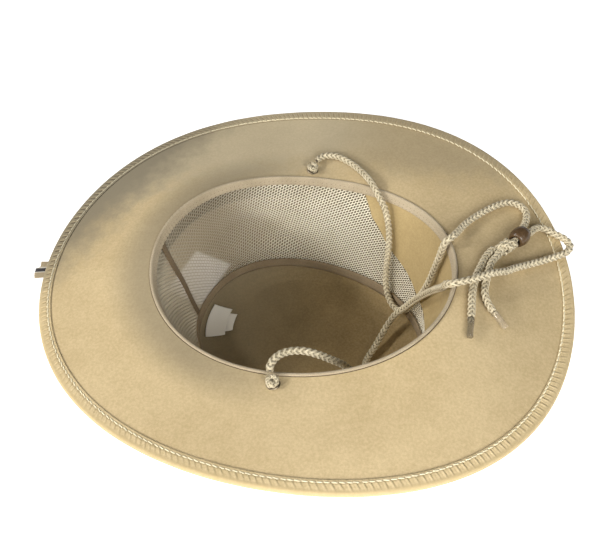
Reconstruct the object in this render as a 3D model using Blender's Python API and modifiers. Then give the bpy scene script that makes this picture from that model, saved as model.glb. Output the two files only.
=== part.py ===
"""Outback hat, lying upside down on its crown, one object per sub-part.

World metres, +Z up, +X to the wearer's front, +Y to the wearer's left as the hat lies.
The floor is z = 0 and touches the crown's top.  Angles run from +X towards +Y.
Outlines are a named size plus a few waves round the head, and each wave is one table
row.  Pieces that touch on the real hat stay GAP apart here.
"""
import math

import bmesh
import bpy
import numpy as np
from mathutils import Matrix, Vector

MM = 0.001
GAP = 0.3 * MM

# head opening: half length, half width, height of its edge above the floor
RIM_A = 100.0 * MM
RIM_B = 83.8 * MM
RIM_Z = 99.2 * MM

# brim
BRIM_W = 75.4 * MM
BRIM_T = 2.4 * MM
BRIM_SLOPE = -3.72
EDGE_INSET = 1.3 * MM
BINDING_W = 8.7 * MM
BINDING_T = 0.9 * MM
AROUND = 72

# crown
WALL_T = 1.4 * MM
WALL_IN = -0.1 * MM
TAPE_T = 1.0 * MM
TAPE_GAP = 0.45 * MM
SWEATBAND_H = 5.6 * MM
LIP_RISE = 0.4 * MM
LIP_T = 0.8 * MM
LIP_OUT = 0.6 * MM
RING_TAPE_H = 7.6 * MM
RING_TAPE_LIFT = 1.5 * MM
BAND_T = 1.0 * MM
BAND_H = 15.0 * MM

# seam where the crown's top begins: half sizes, centre, turn, roundness, height
RING_A = 85.2 * MM
RING_B = 65.7 * MM
RING_CENTRE = (2.4 * MM, -0.9 * MM)
TURN = math.radians(-17.9)
RING_POWER = 2.2
RING_Z = 10.3 * MM

# flat oval of the crown's top, on which the hat rests
FLOOR_A = 55.7 * MM
FLOOR_B = 50.2 * MM
FLOOR_CENTRE = (-2.0 * MM, 7.3 * MM)
TOP_T = 2.0 * MM
DISH_POWER = 1.6

# seam at the back, and the middle of the suede panel at the front, in degrees
BACK_SEAM = 173.0
SEAM_TAPE_HALF = 1.7
PANEL_MIDDLE = -3.0
EDGE_CLEAR = 0.25

CORD_R = 2.5 * MM
CORD_STEP = 10.0 * MM

# waves round the head: order, cosine part, sine part.  The rim's outline is in shares of
# RIM_B, its height in shares of RIM_Z, the width in shares of BRIM_W, the slope in degrees
RIM_OUT = ((2, 0.0, 0.0084), (3, -0.0119, 0.0084), (4, -0.0107, 0.0))
RIM_RISE = ((1, 0.0181, -0.0121), (2, 0.0181, -0.0413))
WIDTH_WAVES = ((1, 0.0279, 0.0053), (2, 0.057, -0.0186), (3, -0.0186, 0.0053),
               (4, 0.0027, 0.0))
SLOPE_WAVES = ((1, 0.0, 0.17), (2, -8.94, 2.86), (3, -1.48, 1.57), (4, -0.47, 0.48))

# half width of the front panel in degrees, by share of the crown's depth
PANEL_EDGE = ((0.0, 73.0), (0.25, 67.0), (0.43, 58.0), (0.52, 51.0), (0.60, 40.0),
              (0.70, 29.0), (0.76, 18.0), (0.84, 9.0), (1.0, 6.0))

# folds of the wall: angle, half angle, share of depth, its change per degree,
# half share, push outwards as a share of RIM_B
FOLDS = ((117.0, 55.0, 0.55, -0.0075, 0.30, 0.048),
         (10.0, 16.0, 0.48, 0.0, 0.34, 0.030),
         (250.0, 45.0, 0.55, 0.004, 0.30, 0.030))
# shares of depth between which the wall may fold, and how fast a fold comes in
FOLD_LIMITS = (0.28, 0.87)
FOLD_FADE = 6.0

# eyelets: angle, distance from the rim as a share of the brim's width
EYELETS = {"far": (92.5, 0.106), "near": (267.0, 0.093)}
EYELET_HOLE_R = 2.9 * MM
EYELET_BORE_R = 2.0 * MM
EYELET_R = 4.3 * MM
EYELET_T = 0.6 * MM

# bead: centre in mm, axis, sizes, and its profile from mouth to mouth in shares of them
BEAD_CENTRE = (140.3, 38.2, 99.0)
BEAD_AXIS = (-0.57, -0.82, 0.09)
BEAD_R = 6.3 * MM
BEAD_HALF = 5.8 * MM
BEAD_BORE_R = 3.0 * MM
BEAD_PROFILE = ((0.67, -0.97), (0.89, -0.72), (1.0, -0.28), (1.0, 0.28), (0.89, 0.72),
                (0.67, 0.97))

# knots: centre and half sizes in mm
SLIDER_KNOT = ((131.4, 27.9, 99.9), (9.0, 6.4, 5.0))
STOPPER_R = 4.3
STOPPER_HALF = 3.0

# cord routes in mm, hand-chosen points from each eyelet to the bead, and the two tails
FAR_ROUTE = ((-2.2, 96.6, 100.4), (0.4, 100.2, 100.5), (5.4, 102.8, 100.4),
             (13.2, 102.6, 100.0), (22.6, 97.5, 99.5), (31.6, 89.2, 99.3),
             (39.3, 78.3, 99.6), (45.4, 70.0, 94.8), (51.0, 65.8, 85.2),
             (54.6, 61.4, 71.3), (55.9, 55.9, 58.5), (55.8, 51.0, 44.2),
             (56.2, 45.8, 29.5), (59.0, 40.0, 18.6), (64.1, 33.0, 14.6),
             (71.0, 27.4, 18.0), (76.6, 25.4, 30.4), (81.4, 22.9, 46.0),
             (84.8, 22.0, 61.8), (86.8, 22.6, 74.5), (89.0, 23.2, 90.2),
             (89.7, 23.2, 98.0), (91.2, 24.2, 104.0), (96.0, 28.8, 105.1),
             (100.4, 37.2, 102.2), (105.2, 45.6, 100.1),
             (113.6, 55.4, 98.7), (122.9, 64.1, 97.8), (132.1, 70.2, 97.1),
             (138.8, 71.4, 96.4), (144.8, 68.7, 95.6), (147.2, 62.2, 95.2),
             (145.3, 53.2, 96.0), (141.9, 45.3, 98.3))
NEAR_ROUTE = ((-8.1, -84.2, 103.0), (-8.4, -80.6, 103.4), (-6.6, -76.0, 103.2),
              (-3.0, -71.4, 102.0), (2.8, -67.8, 100.2), (9.7, -65.7, 97.8),
              (17.4, -64.6, 93.6), (25.0, -63.4, 87.4), (32.5, -61.0, 78.5),
              (38.5, -57.0, 64.0), (42.5, -50.0, 47.0), (44.6, -39.5, 29.0),
              (45.6, -26.0, 12.0), (46.6, -12.0, 5.9), (51.1, -2.0, 6.6),
              (55.5, 7.2, 9.4), (60.3, 16.2, 14.2), (65.4, 21.4, 21.4),
              (72.0, 22.2, 31.0), (79.2, 16.8, 50.6), (86.6, 5.0, 76.0),
              (90.2, -7.4, 96.0), (91.3, -12.0, 105.4), (94.8, -15.4, 110.8),
              (101.4, -13.4, 111.6), (107.6, -10.2, 110.8), (113.4, -6.6, 109.8),
              (118.4, -3.0, 108.4), (124.0, 0.9, 105.6), (129.4, 5.0, 102.2),
              (134.6, 10.2, 98.9), (141.0, 15.1, 96.2), (151.2, 21.7, 93.3),
              (159.0, 26.4, 92.0), (165.9, 30.6, 91.2), (172.1, 34.9, 90.4),
              (174.8, 38.8, 90.2), (175.2, 42.6, 90.2), (172.2, 46.5, 91.0),
              (166.1, 49.0, 92.3), (158.4, 52.0, 93.8), (152.6, 50.6, 94.9),
              (146.5, 42.2, 98.2))
LONG_TAIL = ((122.1, 25.1, 99.4), (117.0, 16.9, 100.2), (113.6, 8.0, 101.3),
             (109.6, -3.4, 103.0), (107.2, -16.6, 104.1), (106.5, -28.8, 104.3),
             (106.0, -35.2, 104.3))
SHORT_TAIL = ((126.4, 21.8, 99.2), (122.2, 15.3, 100.4), (119.5, 9.2, 101.6),
              (116.2, -5.3, 102.6), (115.0, -15.0, 102.6), (117.4, -22.2, 101.4),
              (120.4, -26.4, 100.4))
LONG_AGLET = ((106.0, -35.8, 104.3), (105.1, -48.9, 104.1))
SHORT_AGLET = ((120.8, -26.9, 100.3), (127.8, -36.2, 98.3))
AGLET_R = 2.3 * MM

# labels on the crown's top: two angles, two shares of its slope, place in their pile
LABELS = {"label_large": (160.5, 187.0, 0.84, 0.26, 1),
          "label_small": (164.0, 182.5, 0.52, 0.04, 0)}
LABEL_T = 0.7 * MM
LABEL_LIFT = 0.6 * MM

# ribbon's free end, under the brim at the back: middle, half width, how far it passes
# the brim, and its cut end in shares of that, at one edge, the middle and the other
BAND_TAIL_Y = -8.3 * MM
BAND_TAIL_HALF = 6.7 * MM
BAND_TAIL_OVER = 12.6 * MM
BAND_TAIL_CUT = ((-1, 0.70), (0, 1.0), (1, 0.86))
BAND_TAIL_CREASE = 0.5 * MM
BAND_TAIL_T = 0.8 * MM

# colours as linear red, green, blue, then roughness and metallic
SUEDE = (0.66, 0.51, 0.28, 0.95, 0.0)
PANEL_SUEDE = (0.55, 0.41, 0.20, 0.95, 0.0)
FOLDED_SUEDE = (0.62, 0.49, 0.26, 0.92, 0.0)
NET = (0.58, 0.50, 0.36, 0.85, 0.0)
TAPE = (0.51, 0.42, 0.27, 0.88, 0.0)
DARK_TAPE = (0.24, 0.18, 0.10, 0.9, 0.0)
RIBBON = (0.36, 0.29, 0.19, 0.8, 0.0)
CORD = (0.70, 0.61, 0.42, 0.8, 0.0)
WOOD = (0.20, 0.12, 0.06, 0.45, 0.0)
BRASS = (0.60, 0.50, 0.32, 0.35, 1.0)
CLEAR = (0.75, 0.72, 0.62, 0.2, 0.0)
LABEL = (0.62, 0.58, 0.52, 0.8, 0.0)


def waves(table, th):
    """Sum of the table's waves at angle th, in the table's own unit."""
    return sum(c * np.cos(k * th) + s * np.sin(k * th) for k, c, s in table)


def rim_normal(th):
    """Outward direction of the head oval at th, flat."""
    n = np.stack([np.cos(th) / RIM_A, np.sin(th) / RIM_B], -1)
    return n / np.linalg.norm(n, axis=-1, keepdims=True)


def rim_point(th, out):
    """Point of the head opening's edge, moved outwards by out."""
    shift = (waves(RIM_OUT, th) * RIM_B + out)[..., None]
    flat = np.stack([RIM_A * np.cos(th), RIM_B * np.sin(th)], -1) + rim_normal(th) * shift
    z = RIM_Z * (1.0 + waves(RIM_RISE, th))
    return np.concatenate([flat, z[..., None]], -1)


def brim_width(th):
    """Width of the brim at th, measured along its face."""
    return BRIM_W * (1.0 + waves(WIDTH_WAVES, th))


def brim_slope(th):
    """Slope of the brim at th, as an angle, positive where the edge is raised."""
    return np.radians(BRIM_SLOPE + waves(SLOPE_WAVES, th))


def brim_point(th, along, up):
    """Point on the brim at a distance along its face and a height over it."""
    slope = brim_slope(th)
    p = rim_point(th, along * np.cos(slope))
    p[..., 2] += along * np.sin(slope) + up / np.cos(slope)
    return p


def oval_radius(angle, half_a, half_b, power):
    """Radius of a turned oval towards a flat angle; power 2 is an ellipse."""
    c = np.abs(np.cos(angle - TURN) / half_a) ** power
    s = np.abs(np.sin(angle - TURN) / half_b) ** power
    return (c + s) ** (-1.0 / power)


def head_angle(th):
    """Flat angle of the rim point at th, seen from the middle of the hat."""
    return np.arctan2(RIM_B * np.sin(th), RIM_A * np.cos(th))


def ring_point(th, out):
    """Point of the seam round the crown's top, moved outwards by out."""
    angle = head_angle(th)
    r = oval_radius(angle, RING_A, RING_B, RING_POWER)[..., None]
    flat = np.array(RING_CENTRE) + r * np.stack([np.cos(angle), np.sin(angle)], -1)
    flat = flat + rim_normal(th) * (np.zeros_like(th) + out)[..., None]
    return np.concatenate([flat, np.full_like(th, RING_Z)[..., None]], -1)


def fold_push(th, share):
    """How far the folds push the wall outwards at th and a share of its depth."""
    push = np.zeros_like(th)
    degrees = np.degrees(th) % 360.0
    for centre, half, level, tilt, spread, depth in FOLDS:
        turn = (degrees - centre + 180.0) % 360.0 - 180.0
        side = np.clip(1.0 - (turn / half) ** 2, 0.0, 1.0) ** 2
        height = np.clip(1.0 - np.abs(share - level - tilt * turn) / spread, 0.0, 1.0)
        push = push + depth * RIM_B * side * height ** 1.5 * (3.0 - 2.0 * height)
    return push


def wall_point(th, drop, out):
    """Point of the crown's wall, drop below the rim, out from the wall's line."""
    top = rim_point(th, out)
    low = ring_point(th, out)
    share = drop / (top[..., 2] - RING_Z)
    fade = np.minimum(share - FOLD_LIMITS[0], FOLD_LIMITS[1] - share) * FOLD_FADE
    push = fold_push(th, share) * np.clip(fade, 0.0, 1.0)
    p = top * (1.0 - share[..., None]) + low * share[..., None]
    p[..., :2] += rim_normal(th) * push[..., None]
    return p


def under_brim(th, out):
    """Drop from the rim at which the wall meets the brim's lower face."""
    slope = brim_slope(th)
    return BRIM_T / np.cos(slope) - out * np.tan(slope) + GAP


def dish_point(th, share, face, up):
    """Point of the crown's top: share -1 is its middle, 0 the flat oval, 1 the seam.

    face 0 is the outer skin and face 1 the inner one; up lifts the point.
    """
    angle = head_angle(th)
    r = oval_radius(angle, FLOOR_A, FLOOR_B, 2.0)[..., None]
    spoke = r * np.stack([np.cos(angle), np.sin(angle)], -1)
    flat = np.array(FLOOR_CENTRE) + spoke * min(1.0 + share, 1.0)
    seam = ring_point(th, WALL_IN + WALL_T - TOP_T * face)[..., :2]
    rise = max(share, 0.0)
    flat = flat * (1.0 - rise) + seam * rise
    base = TOP_T * face
    z = base + (RING_Z - 0.5 * GAP - base) * rise ** DISH_POWER + up
    return np.concatenate([flat, np.full_like(th, z)[..., None]], -1)


def full_turn(count):
    """Evenly spaced angles all the way round."""
    return np.linspace(0.0, 2.0 * math.pi, count, endpoint=False)


def material(name, finish):
    """Principled material from linear colour, roughness and metallic."""
    red, green, blue, roughness, metallic = finish
    mat = bpy.data.materials.new(name)
    mat.use_nodes = True
    shader = mat.node_tree.nodes["Principled BSDF"]
    shader.inputs["Base Color"].default_value = (red, green, blue, 1.0)
    shader.inputs["Roughness"].default_value = roughness
    shader.inputs["Metallic"].default_value = metallic
    return mat


def add_object(name, data, finish):
    """Link an object and give it a material of its own."""
    data.materials.append(material(name + "_finish", finish))
    obj = bpy.data.objects.new(name, data)
    bpy.context.scene.collection.objects.link(obj)
    return obj


def add_mesh(name, points, faces, finish):
    """Mesh object with its faces turned outwards."""
    mesh = bpy.data.meshes.new(name)
    mesh.from_pydata([tuple(p) for p in points], [], faces)
    work = bmesh.new()
    work.from_mesh(mesh)
    bmesh.ops.recalc_face_normals(work, faces=work.faces)
    work.to_mesh(mesh)
    work.free()
    return add_object(name, mesh, finish)


def loop_solid(name, loop, finish):
    """Closed ring: loop is (profile points, angles, 3), closed both ways."""
    rows, cols = loop.shape[:2]
    faces = []
    for i in range(rows):
        for j in range(cols):
            k = (i + 1) % rows
            m = (j + 1) % cols
            faces.append((i * cols + j, i * cols + m, k * cols + m, k * cols + j))
    return add_mesh(name, loop.reshape(-1, 3), faces, finish)


def sheet_solid(name, outer, inner, finish, closed=False):
    """Sheet with two skins, each (rows, columns, 3); closed joins the last column."""
    rows, cols = outer.shape[:2]
    size = rows * cols
    last = cols if closed else cols - 1
    faces = []
    for i in range(rows - 1):
        for j in range(last):
            m = (j + 1) % cols
            quad = (i * cols + j, i * cols + m, (i + 1) * cols + m, (i + 1) * cols + j)
            faces.append(quad)
            faces.append(tuple(size + v for v in reversed(quad)))
    for i in (0, rows - 1):
        for j in range(last):
            a = i * cols + j
            b = i * cols + (j + 1) % cols
            faces.append((a, b, size + b, size + a))
    if not closed:
        for j in (0, cols - 1):
            for i in range(rows - 1):
                a = i * cols + j
                b = (i + 1) * cols + j
                faces.append((a, b, size + b, size + a))
    points = np.concatenate([outer.reshape(-1, 3), inner.reshape(-1, 3)])
    return add_mesh(name, points, faces, finish)


def lathe(name, profile, steps, place, finish):
    """Ring turned about its own Z from a closed profile of (radius, height)."""
    mesh = bpy.data.meshes.new(name)
    points = [(r, 0.0, h) for r, h in profile]
    edges = [(i, (i + 1) % len(points)) for i in range(len(points))]
    mesh.from_pydata(points, edges, [])
    obj = add_object(name, mesh, finish)
    turn = obj.modifiers.new("turn", "SCREW")
    turn.axis = "Z"
    turn.steps = steps
    turn.render_steps = steps
    turn.use_merge_vertices = True
    turn.merge_threshold = 0.00001
    turn.use_normal_flip = True
    obj.matrix_world = place
    return obj


def blob(name, centre, half, finish, turn=None):
    """Rounded knot: a ball with three half sizes in mm."""
    mesh = bpy.data.meshes.new(name)
    ball = bmesh.new()
    bmesh.ops.create_uvsphere(ball, u_segments=12, v_segments=8, radius=1.0)
    place = Matrix.Translation(Vector(centre)) @ (turn or Matrix.Identity(4))
    size = Matrix.Diagonal(Vector((half[0] * MM, half[1] * MM, half[2] * MM, 1.0)))
    bmesh.ops.transform(ball, matrix=place @ size, verts=ball.verts)
    ball.to_mesh(mesh)
    ball.free()
    return add_object(name, mesh, finish)


def smooth_route(route):
    """Even steps along a smooth curve through the route's points, in metres."""
    p = np.array(route) * MM
    p = np.concatenate([2 * p[:1] - p[1:2], p, 2 * p[-1:] - p[-2:-1]])
    fine = []
    for a, b, c, d in zip(p[:-3], p[1:-2], p[2:-1], p[3:]):
        for t in np.linspace(0.0, 1.0, 8, endpoint=False):
            fine.append(0.5 * (2 * b + (c - a) * t + (2 * a - 5 * b + 4 * c - d) * t ** 2
                               + (3 * b - a - 3 * c + d) * t ** 3))
    fine = np.array(fine + [p[-2]])
    walked = np.r_[0.0, np.cumsum(np.linalg.norm(np.diff(fine, axis=0), axis=1))]
    count = max(2, round(walked[-1] / CORD_STEP) + 1)
    stops = np.linspace(0.0, walked[-1], count)
    return np.stack([np.interp(stops, walked, fine[:, k]) for k in range(3)], -1)


def tube(name, points, radius, finish):
    """Round solid rod along a line of points."""
    curve = bpy.data.curves.new(name, "CURVE")
    curve.dimensions = "3D"
    curve.bevel_depth = radius
    curve.bevel_resolution = 2
    curve.use_fill_caps = True
    line = curve.splines.new("POLY")
    line.points.add(len(points) - 1)
    for knot, p in zip(line.points, points):
        knot.co = (p[0], p[1], p[2], 1.0)
    return add_object(name, curve, finish)


def brim_frame(degrees, along):
    """Place whose Z stands on the brim's upper face at an angle and distance."""
    th = np.array([math.radians(degrees)])
    step = 1.0 * MM
    here = Vector(brim_point(th, along, 0.0)[0])
    out = Vector(brim_point(th, along + step, 0.0)[0]) - here
    round_head = Vector(brim_point(th + 0.01, along, 0.0)[0]) - here
    up = out.cross(round_head).normalized()
    out.normalize()
    side = up.cross(out)
    return Matrix((out, side, up)).transposed().to_4x4(), here


def make_brim():
    """Suede ring from the head opening to its outer edge, with two eyelet holes."""
    th = full_turn(AROUND)
    edge = brim_width(th) - EDGE_INSET
    inner = np.full_like(th, WALL_IN)
    rows = [inner * (1.0 - s) + edge * s for s in (0.0, 0.22, 0.6, 1.0)]
    top = np.stack([brim_point(th, row, 0.0) for row in rows])
    low = np.stack([brim_point(th, row, -BRIM_T) for row in rows])
    brim = sheet_solid("brim", top, low, SUEDE, closed=True)
    for side, (degrees, share) in EYELETS.items():
        turn, here = brim_frame(degrees, share * BRIM_W)
        mesh = bpy.data.meshes.new("hole_" + side)
        drill = bmesh.new()
        bmesh.ops.create_cone(drill, cap_ends=True, segments=16, radius1=EYELET_HOLE_R,
                              radius2=EYELET_HOLE_R, depth=4.0 * BRIM_T)
        drill.to_mesh(mesh)
        drill.free()
        cutter = bpy.data.objects.new("hole_" + side, mesh)
        bpy.context.scene.collection.objects.link(cutter)
        cutter.matrix_world = Matrix.Translation(here) @ turn
        cutter.hide_render = True
        cutter.display_type = "WIRE"
        cut = brim.modifiers.new("hole_" + side, "BOOLEAN")
        cut.operation = "DIFFERENCE"
        cut.solver = "EXACT"
        cut.object = cutter


def make_binding():
    """Suede strip folded round the brim's edge; its ribs are left to the visual."""
    th = full_turn(AROUND)
    width = brim_width(th)
    face = GAP + BINDING_T
    low = -BRIM_T - face
    nose = EDGE_INSET - GAP
    bend = EDGE_INSET + GAP
    section = ((BINDING_W, face), (bend, face), (0.25 * bend, 0.0), (0.0, -0.5 * BRIM_T),
               (0.25 * bend, -BRIM_T), (bend, low), (BINDING_W, low),
               (BINDING_W, -BRIM_T - GAP), (nose, -BRIM_T - GAP), (nose, GAP),
               (BINDING_W, GAP))
    loop = np.stack([brim_point(th, width - inset, up) for inset, up in section])
    loop_solid("edge_binding", loop, FOLDED_SUEDE)


def make_sweatband():
    """Woven tape inside the head opening, its upper edge rolled over the brim."""
    th = full_turn(AROUND)
    back = WALL_IN - TAPE_GAP
    front = back - TAPE_T
    top = -LIP_RISE - LIP_T
    section = ((front, 0.0), (front + 0.5 * TAPE_T, top), (LIP_OUT, top),
               (LIP_OUT, -LIP_RISE), (back, -LIP_RISE), (back, SWEATBAND_H),
               (front, SWEATBAND_H))
    loop = np.stack([wall_point(th, np.full_like(th, d), o) for o, d in section])
    loop_solid("sweatband_tape", loop, TAPE)


def wall_sheet(name, start, stop, columns, finish):
    """Piece of the crown's wall between two edges given as degrees by share."""
    shares = np.linspace(0.0, 1.0, 9)
    skins = []
    for out in (WALL_IN + WALL_T, WALL_IN):
        rows = []
        for share in shares:
            degrees = np.linspace(start(share), stop(share), columns + 1)
            th = np.radians(degrees)
            top = under_brim(th, out)
            depth = rim_point(th, out)[..., 2] - RING_Z - 0.5 * GAP
            rows.append(wall_point(th, top + (depth - top) * share, out))
        skins.append(np.stack(rows))
    sheet_solid(name, skins[0], skins[1], finish)


def panel_half(share):
    """Half width of the front panel in degrees at a share of the depth."""
    levels, halves = zip(*PANEL_EDGE)
    return float(np.interp(share, levels, halves))


def make_crown_wall():
    """Two net sides and the suede panel at the front."""
    wall_sheet("front_panel", lambda s: PANEL_MIDDLE - panel_half(s),
               lambda s: PANEL_MIDDLE + panel_half(s), 24, PANEL_SUEDE)
    wall_sheet("crown_net_far", lambda s: PANEL_MIDDLE + panel_half(s) + EDGE_CLEAR,
               lambda s: BACK_SEAM - 0.5 * EDGE_CLEAR, 22, NET)
    wall_sheet("crown_net_near", lambda s: BACK_SEAM + 0.5 * EDGE_CLEAR,
               lambda s: 360.0 + PANEL_MIDDLE - panel_half(s) - EDGE_CLEAR, 22, NET)


def make_crown_tapes():
    """Tape over the back seam, and tape standing inside along the top's seam."""
    back = WALL_IN - TAPE_GAP
    front = back - TAPE_T
    th = full_turn(AROUND)
    depth = rim_point(th, 0.0)[..., 2] - RING_Z
    low = depth - RING_TAPE_LIFT
    loop = [wall_point(th, drop, out) for drop, out in
            ((low - RING_TAPE_H, back), (low, back), (low, front), (low - RING_TAPE_H, front))]
    loop_solid("crown_top_tape", np.stack(loop), TAPE)

    th = np.radians(np.linspace(BACK_SEAM - SEAM_TAPE_HALF, BACK_SEAM + SEAM_TAPE_HALF, 3))
    first = SWEATBAND_H + GAP
    depth = float(rim_point(th[1:2], 0.0)[0, 2]) - RING_Z
    last = depth - RING_TAPE_LIFT - RING_TAPE_H - 2.0 * GAP
    drops = np.linspace(first, last, 9)
    skins = [np.stack([wall_point(th, np.full_like(th, d), out) for d in drops])
             for out in (back, front)]
    sheet_solid("back_seam_tape", skins[0], skins[1], DARK_TAPE)


def make_crown_top():
    """Shallow suede dish that closes the crown, and the two labels on its slope."""
    th = full_turn(AROUND)
    shares = (-0.5, 0.0, 0.35, 0.7, 1.0)
    outer = np.stack([dish_point(th, s, 0, 0.0) for s in shares])
    inner = np.stack([dish_point(th, s, 1, 0.0) for s in shares])
    rows, cols = outer.shape[:2]
    size = rows * cols
    points = np.concatenate([outer.reshape(-1, 3), inner.reshape(-1, 3),
                             [(*FLOOR_CENTRE, 0.0), (*FLOOR_CENTRE, TOP_T)]])
    faces = []
    for j in range(cols):
        m = (j + 1) % cols
        faces.append((2 * size, m, j))
        faces.append((2 * size + 1, size + j, size + m))
        for i in range(rows - 1):
            quad = (i * cols + j, i * cols + m, (i + 1) * cols + m, (i + 1) * cols + j)
            faces.append(quad)
            faces.append(tuple(size + v for v in reversed(quad)))
        a = (rows - 1) * cols + j
        b = (rows - 1) * cols + m
        faces.append((a, b, size + b, size + a))
    add_mesh("crown_top", points, faces, SUEDE)

    for name, (first, last, high, low, place) in LABELS.items():
        th = np.radians(np.linspace(first, last, 5))
        steps = np.linspace(high, low, 4)
        up = LABEL_LIFT + place * (LABEL_T + GAP)
        skins = [np.stack([dish_point(th, s, 1, up + lift) for s in steps])
                 for lift in (LABEL_T, 0.0)]
        sheet_solid(name, skins[0], skins[1], LABEL)


def make_hat_band():
    """Ribbon round the outside of the crown, and its free end under the brim."""
    th = full_turn(AROUND)
    near = WALL_IN + WALL_T + GAP
    far = near + BAND_T
    loop = [wall_point(th, under_brim(th, near) + drop, out) for out, drop in
            ((near, 0.0), (far, 0.6 * MM), (far, BAND_H), (near, BAND_H))]
    loop_solid("hat_band", np.stack(loop), RIBBON)

    below = BRIM_T + BINDING_T + 2.0 * GAP
    skins = []
    for lift in (0.0, -BAND_TAIL_T):
        edge = []
        for side, cut in BAND_TAIL_CUT:
            y = BAND_TAIL_Y - side * BAND_TAIL_HALF
            th = np.array([math.pi - y / RIM_B])
            start = wall_point(th, under_brim(th, far) + GAP, far + GAP)[0]
            end = brim_point(th, brim_width(th), -below)[0]
            end[1] = start[1] = y
            end += (end - start) * cut * BAND_TAIL_OVER / BRIM_W
            line = np.stack([start + (end - start) * s for s in (0.0, 0.33, 0.66, 1.0)])
            line[:, 2] += lift - BAND_TAIL_CREASE * (side == 0)
            edge.append(line)
        skins.append(np.stack(edge))
    sheet_solid("band_tail", skins[0], skins[1], RIBBON)


def make_eyelets():
    """Metal eyelets in the brim and the stopper knots that sit on them."""
    barrel = EYELET_HOLE_R - GAP
    chamfer = EYELET_R - 0.3 * EYELET_T
    top = GAP + EYELET_T
    low = -BRIM_T - top
    profile = ((EYELET_BORE_R, low), (chamfer, low), (EYELET_R, -BRIM_T - GAP),
               (barrel, -BRIM_T - GAP), (barrel, GAP), (EYELET_R, GAP), (chamfer, top),
               (EYELET_BORE_R, top))
    for side, (degrees, share) in EYELETS.items():
        turn, here = brim_frame(degrees, share * BRIM_W)
        place = Matrix.Translation(here) @ turn
        lathe("eyelet_" + side, profile, 16, place, BRASS)
        centre = place @ Vector((0.0, 0.0, top + 0.5 * GAP + STOPPER_HALF * MM))
        blob("knot_" + side, centre, (STOPPER_R, STOPPER_R, STOPPER_HALF), CORD, turn)


def make_chin_cord():
    """Two strands, the bead on them, the knot below it, the tails and their tips."""
    tube("chin_cord_far", smooth_route(FAR_ROUTE), CORD_R, CORD)
    tube("chin_cord_near", smooth_route(NEAR_ROUTE), CORD_R, CORD)
    tube("cord_tail_long", smooth_route(LONG_TAIL), CORD_R, CORD)
    tube("cord_tail_short", smooth_route(SHORT_TAIL), CORD_R, CORD)
    tube("aglet_long", np.array(LONG_AGLET) * MM, AGLET_R, CLEAR)
    tube("aglet_short", np.array(SHORT_AGLET) * MM, AGLET_R, CLEAR)
    profile = [(BEAD_R * r, BEAD_HALF * h) for r, h in BEAD_PROFILE]
    profile = [(BEAD_BORE_R, -BEAD_HALF)] + profile + [(BEAD_BORE_R, BEAD_HALF)]
    turn = Vector(BEAD_AXIS).to_track_quat("Z", "Y").to_matrix().to_4x4()
    centre = Vector(BEAD_CENTRE) * MM
    lathe("bead", profile, 16, Matrix.Translation(centre) @ turn, WOOD)
    centre, half = SLIDER_KNOT
    blob("slider_knot", Vector(centre) * MM, half, CORD)


def main():
    """Clear the scene and build every piece."""
    for old in list(bpy.data.objects):
        bpy.data.objects.remove(old, do_unlink=True)
    make_brim()
    make_binding()
    make_sweatband()
    make_crown_wall()
    make_crown_tapes()
    make_crown_top()
    make_hat_band()
    make_eyelets()
    make_chin_cord()


main()
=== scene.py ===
"""Looks of the outback hat, which lies upside down on its crown on a pale floor.

Metres, +Z up, +X to the hat's front.  Every cloth piece is a surface worked out from the
same outlines as the solids: angles run round the head from +X towards +Y, the crown's
wall runs from the rim down to the seam of its top, and the brim runs outwards.
A grid holds five numbers a point: x, y, z and two lengths in mm along its cloth.
"""
import math

import bpy
import numpy as np
from mathutils import Matrix, Vector


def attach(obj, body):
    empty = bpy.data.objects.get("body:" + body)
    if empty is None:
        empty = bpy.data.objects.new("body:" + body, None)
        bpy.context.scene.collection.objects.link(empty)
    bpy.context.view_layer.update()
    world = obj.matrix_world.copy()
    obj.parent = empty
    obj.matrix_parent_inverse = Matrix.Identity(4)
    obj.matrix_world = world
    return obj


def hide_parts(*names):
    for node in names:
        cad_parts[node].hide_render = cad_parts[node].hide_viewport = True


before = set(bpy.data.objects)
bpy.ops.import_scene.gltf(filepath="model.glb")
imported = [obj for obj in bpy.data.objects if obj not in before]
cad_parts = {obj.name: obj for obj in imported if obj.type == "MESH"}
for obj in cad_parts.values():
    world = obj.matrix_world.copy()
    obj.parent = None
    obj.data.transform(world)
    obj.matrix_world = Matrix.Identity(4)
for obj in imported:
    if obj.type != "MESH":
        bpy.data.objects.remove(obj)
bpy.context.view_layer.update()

MM = 0.001
TAU = 2.0 * math.pi
GAP = 0.3 * MM

# head opening, brim and its bound edge
RIM_A = 100.0 * MM
RIM_B = 83.8 * MM
RIM_Z = 99.2 * MM
BRIM_W = 75.4 * MM
BRIM_T = 2.4 * MM
BRIM_SLOPE = -3.72
EDGE_INSET = 1.3 * MM
BINDING_W = 8.7 * MM
BINDING_T = 0.9 * MM
RIBS = 262
RIB_STEP = 4.1 * MM
SEAM_SINK = 0.55 * MM

# crown: wall, tapes, band, seam of the top, flat oval it lies on
WALL_T = 1.4 * MM
WALL_IN = -0.1 * MM
TAPE_BACK = WALL_IN - 0.45 * MM
TAPE_T = 1.0 * MM
SWEATBAND_H = 5.6 * MM
RING_TAPE_H = 7.6 * MM
RING_TAPE_LIFT = 1.5 * MM
BAND_T = 1.0 * MM
BAND_H = 15.0 * MM
RING_A = 85.2 * MM
RING_B = 65.7 * MM
RING_CENTRE = (2.4 * MM, -0.9 * MM)
TURN = math.radians(-17.9)
RING_POWER = 2.2
RING_Z = 10.3 * MM
FLOOR_A = 55.7 * MM
FLOOR_B = 50.2 * MM
FLOOR_CENTRE = (-2.0 * MM, 7.3 * MM)
TOP_T = 2.0 * MM
DISH_POWER = 1.6
BACK_SEAM = 173.0
SEAM_TAPE_HALF = 1.7
PANEL_MIDDLE = -3.0

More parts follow.
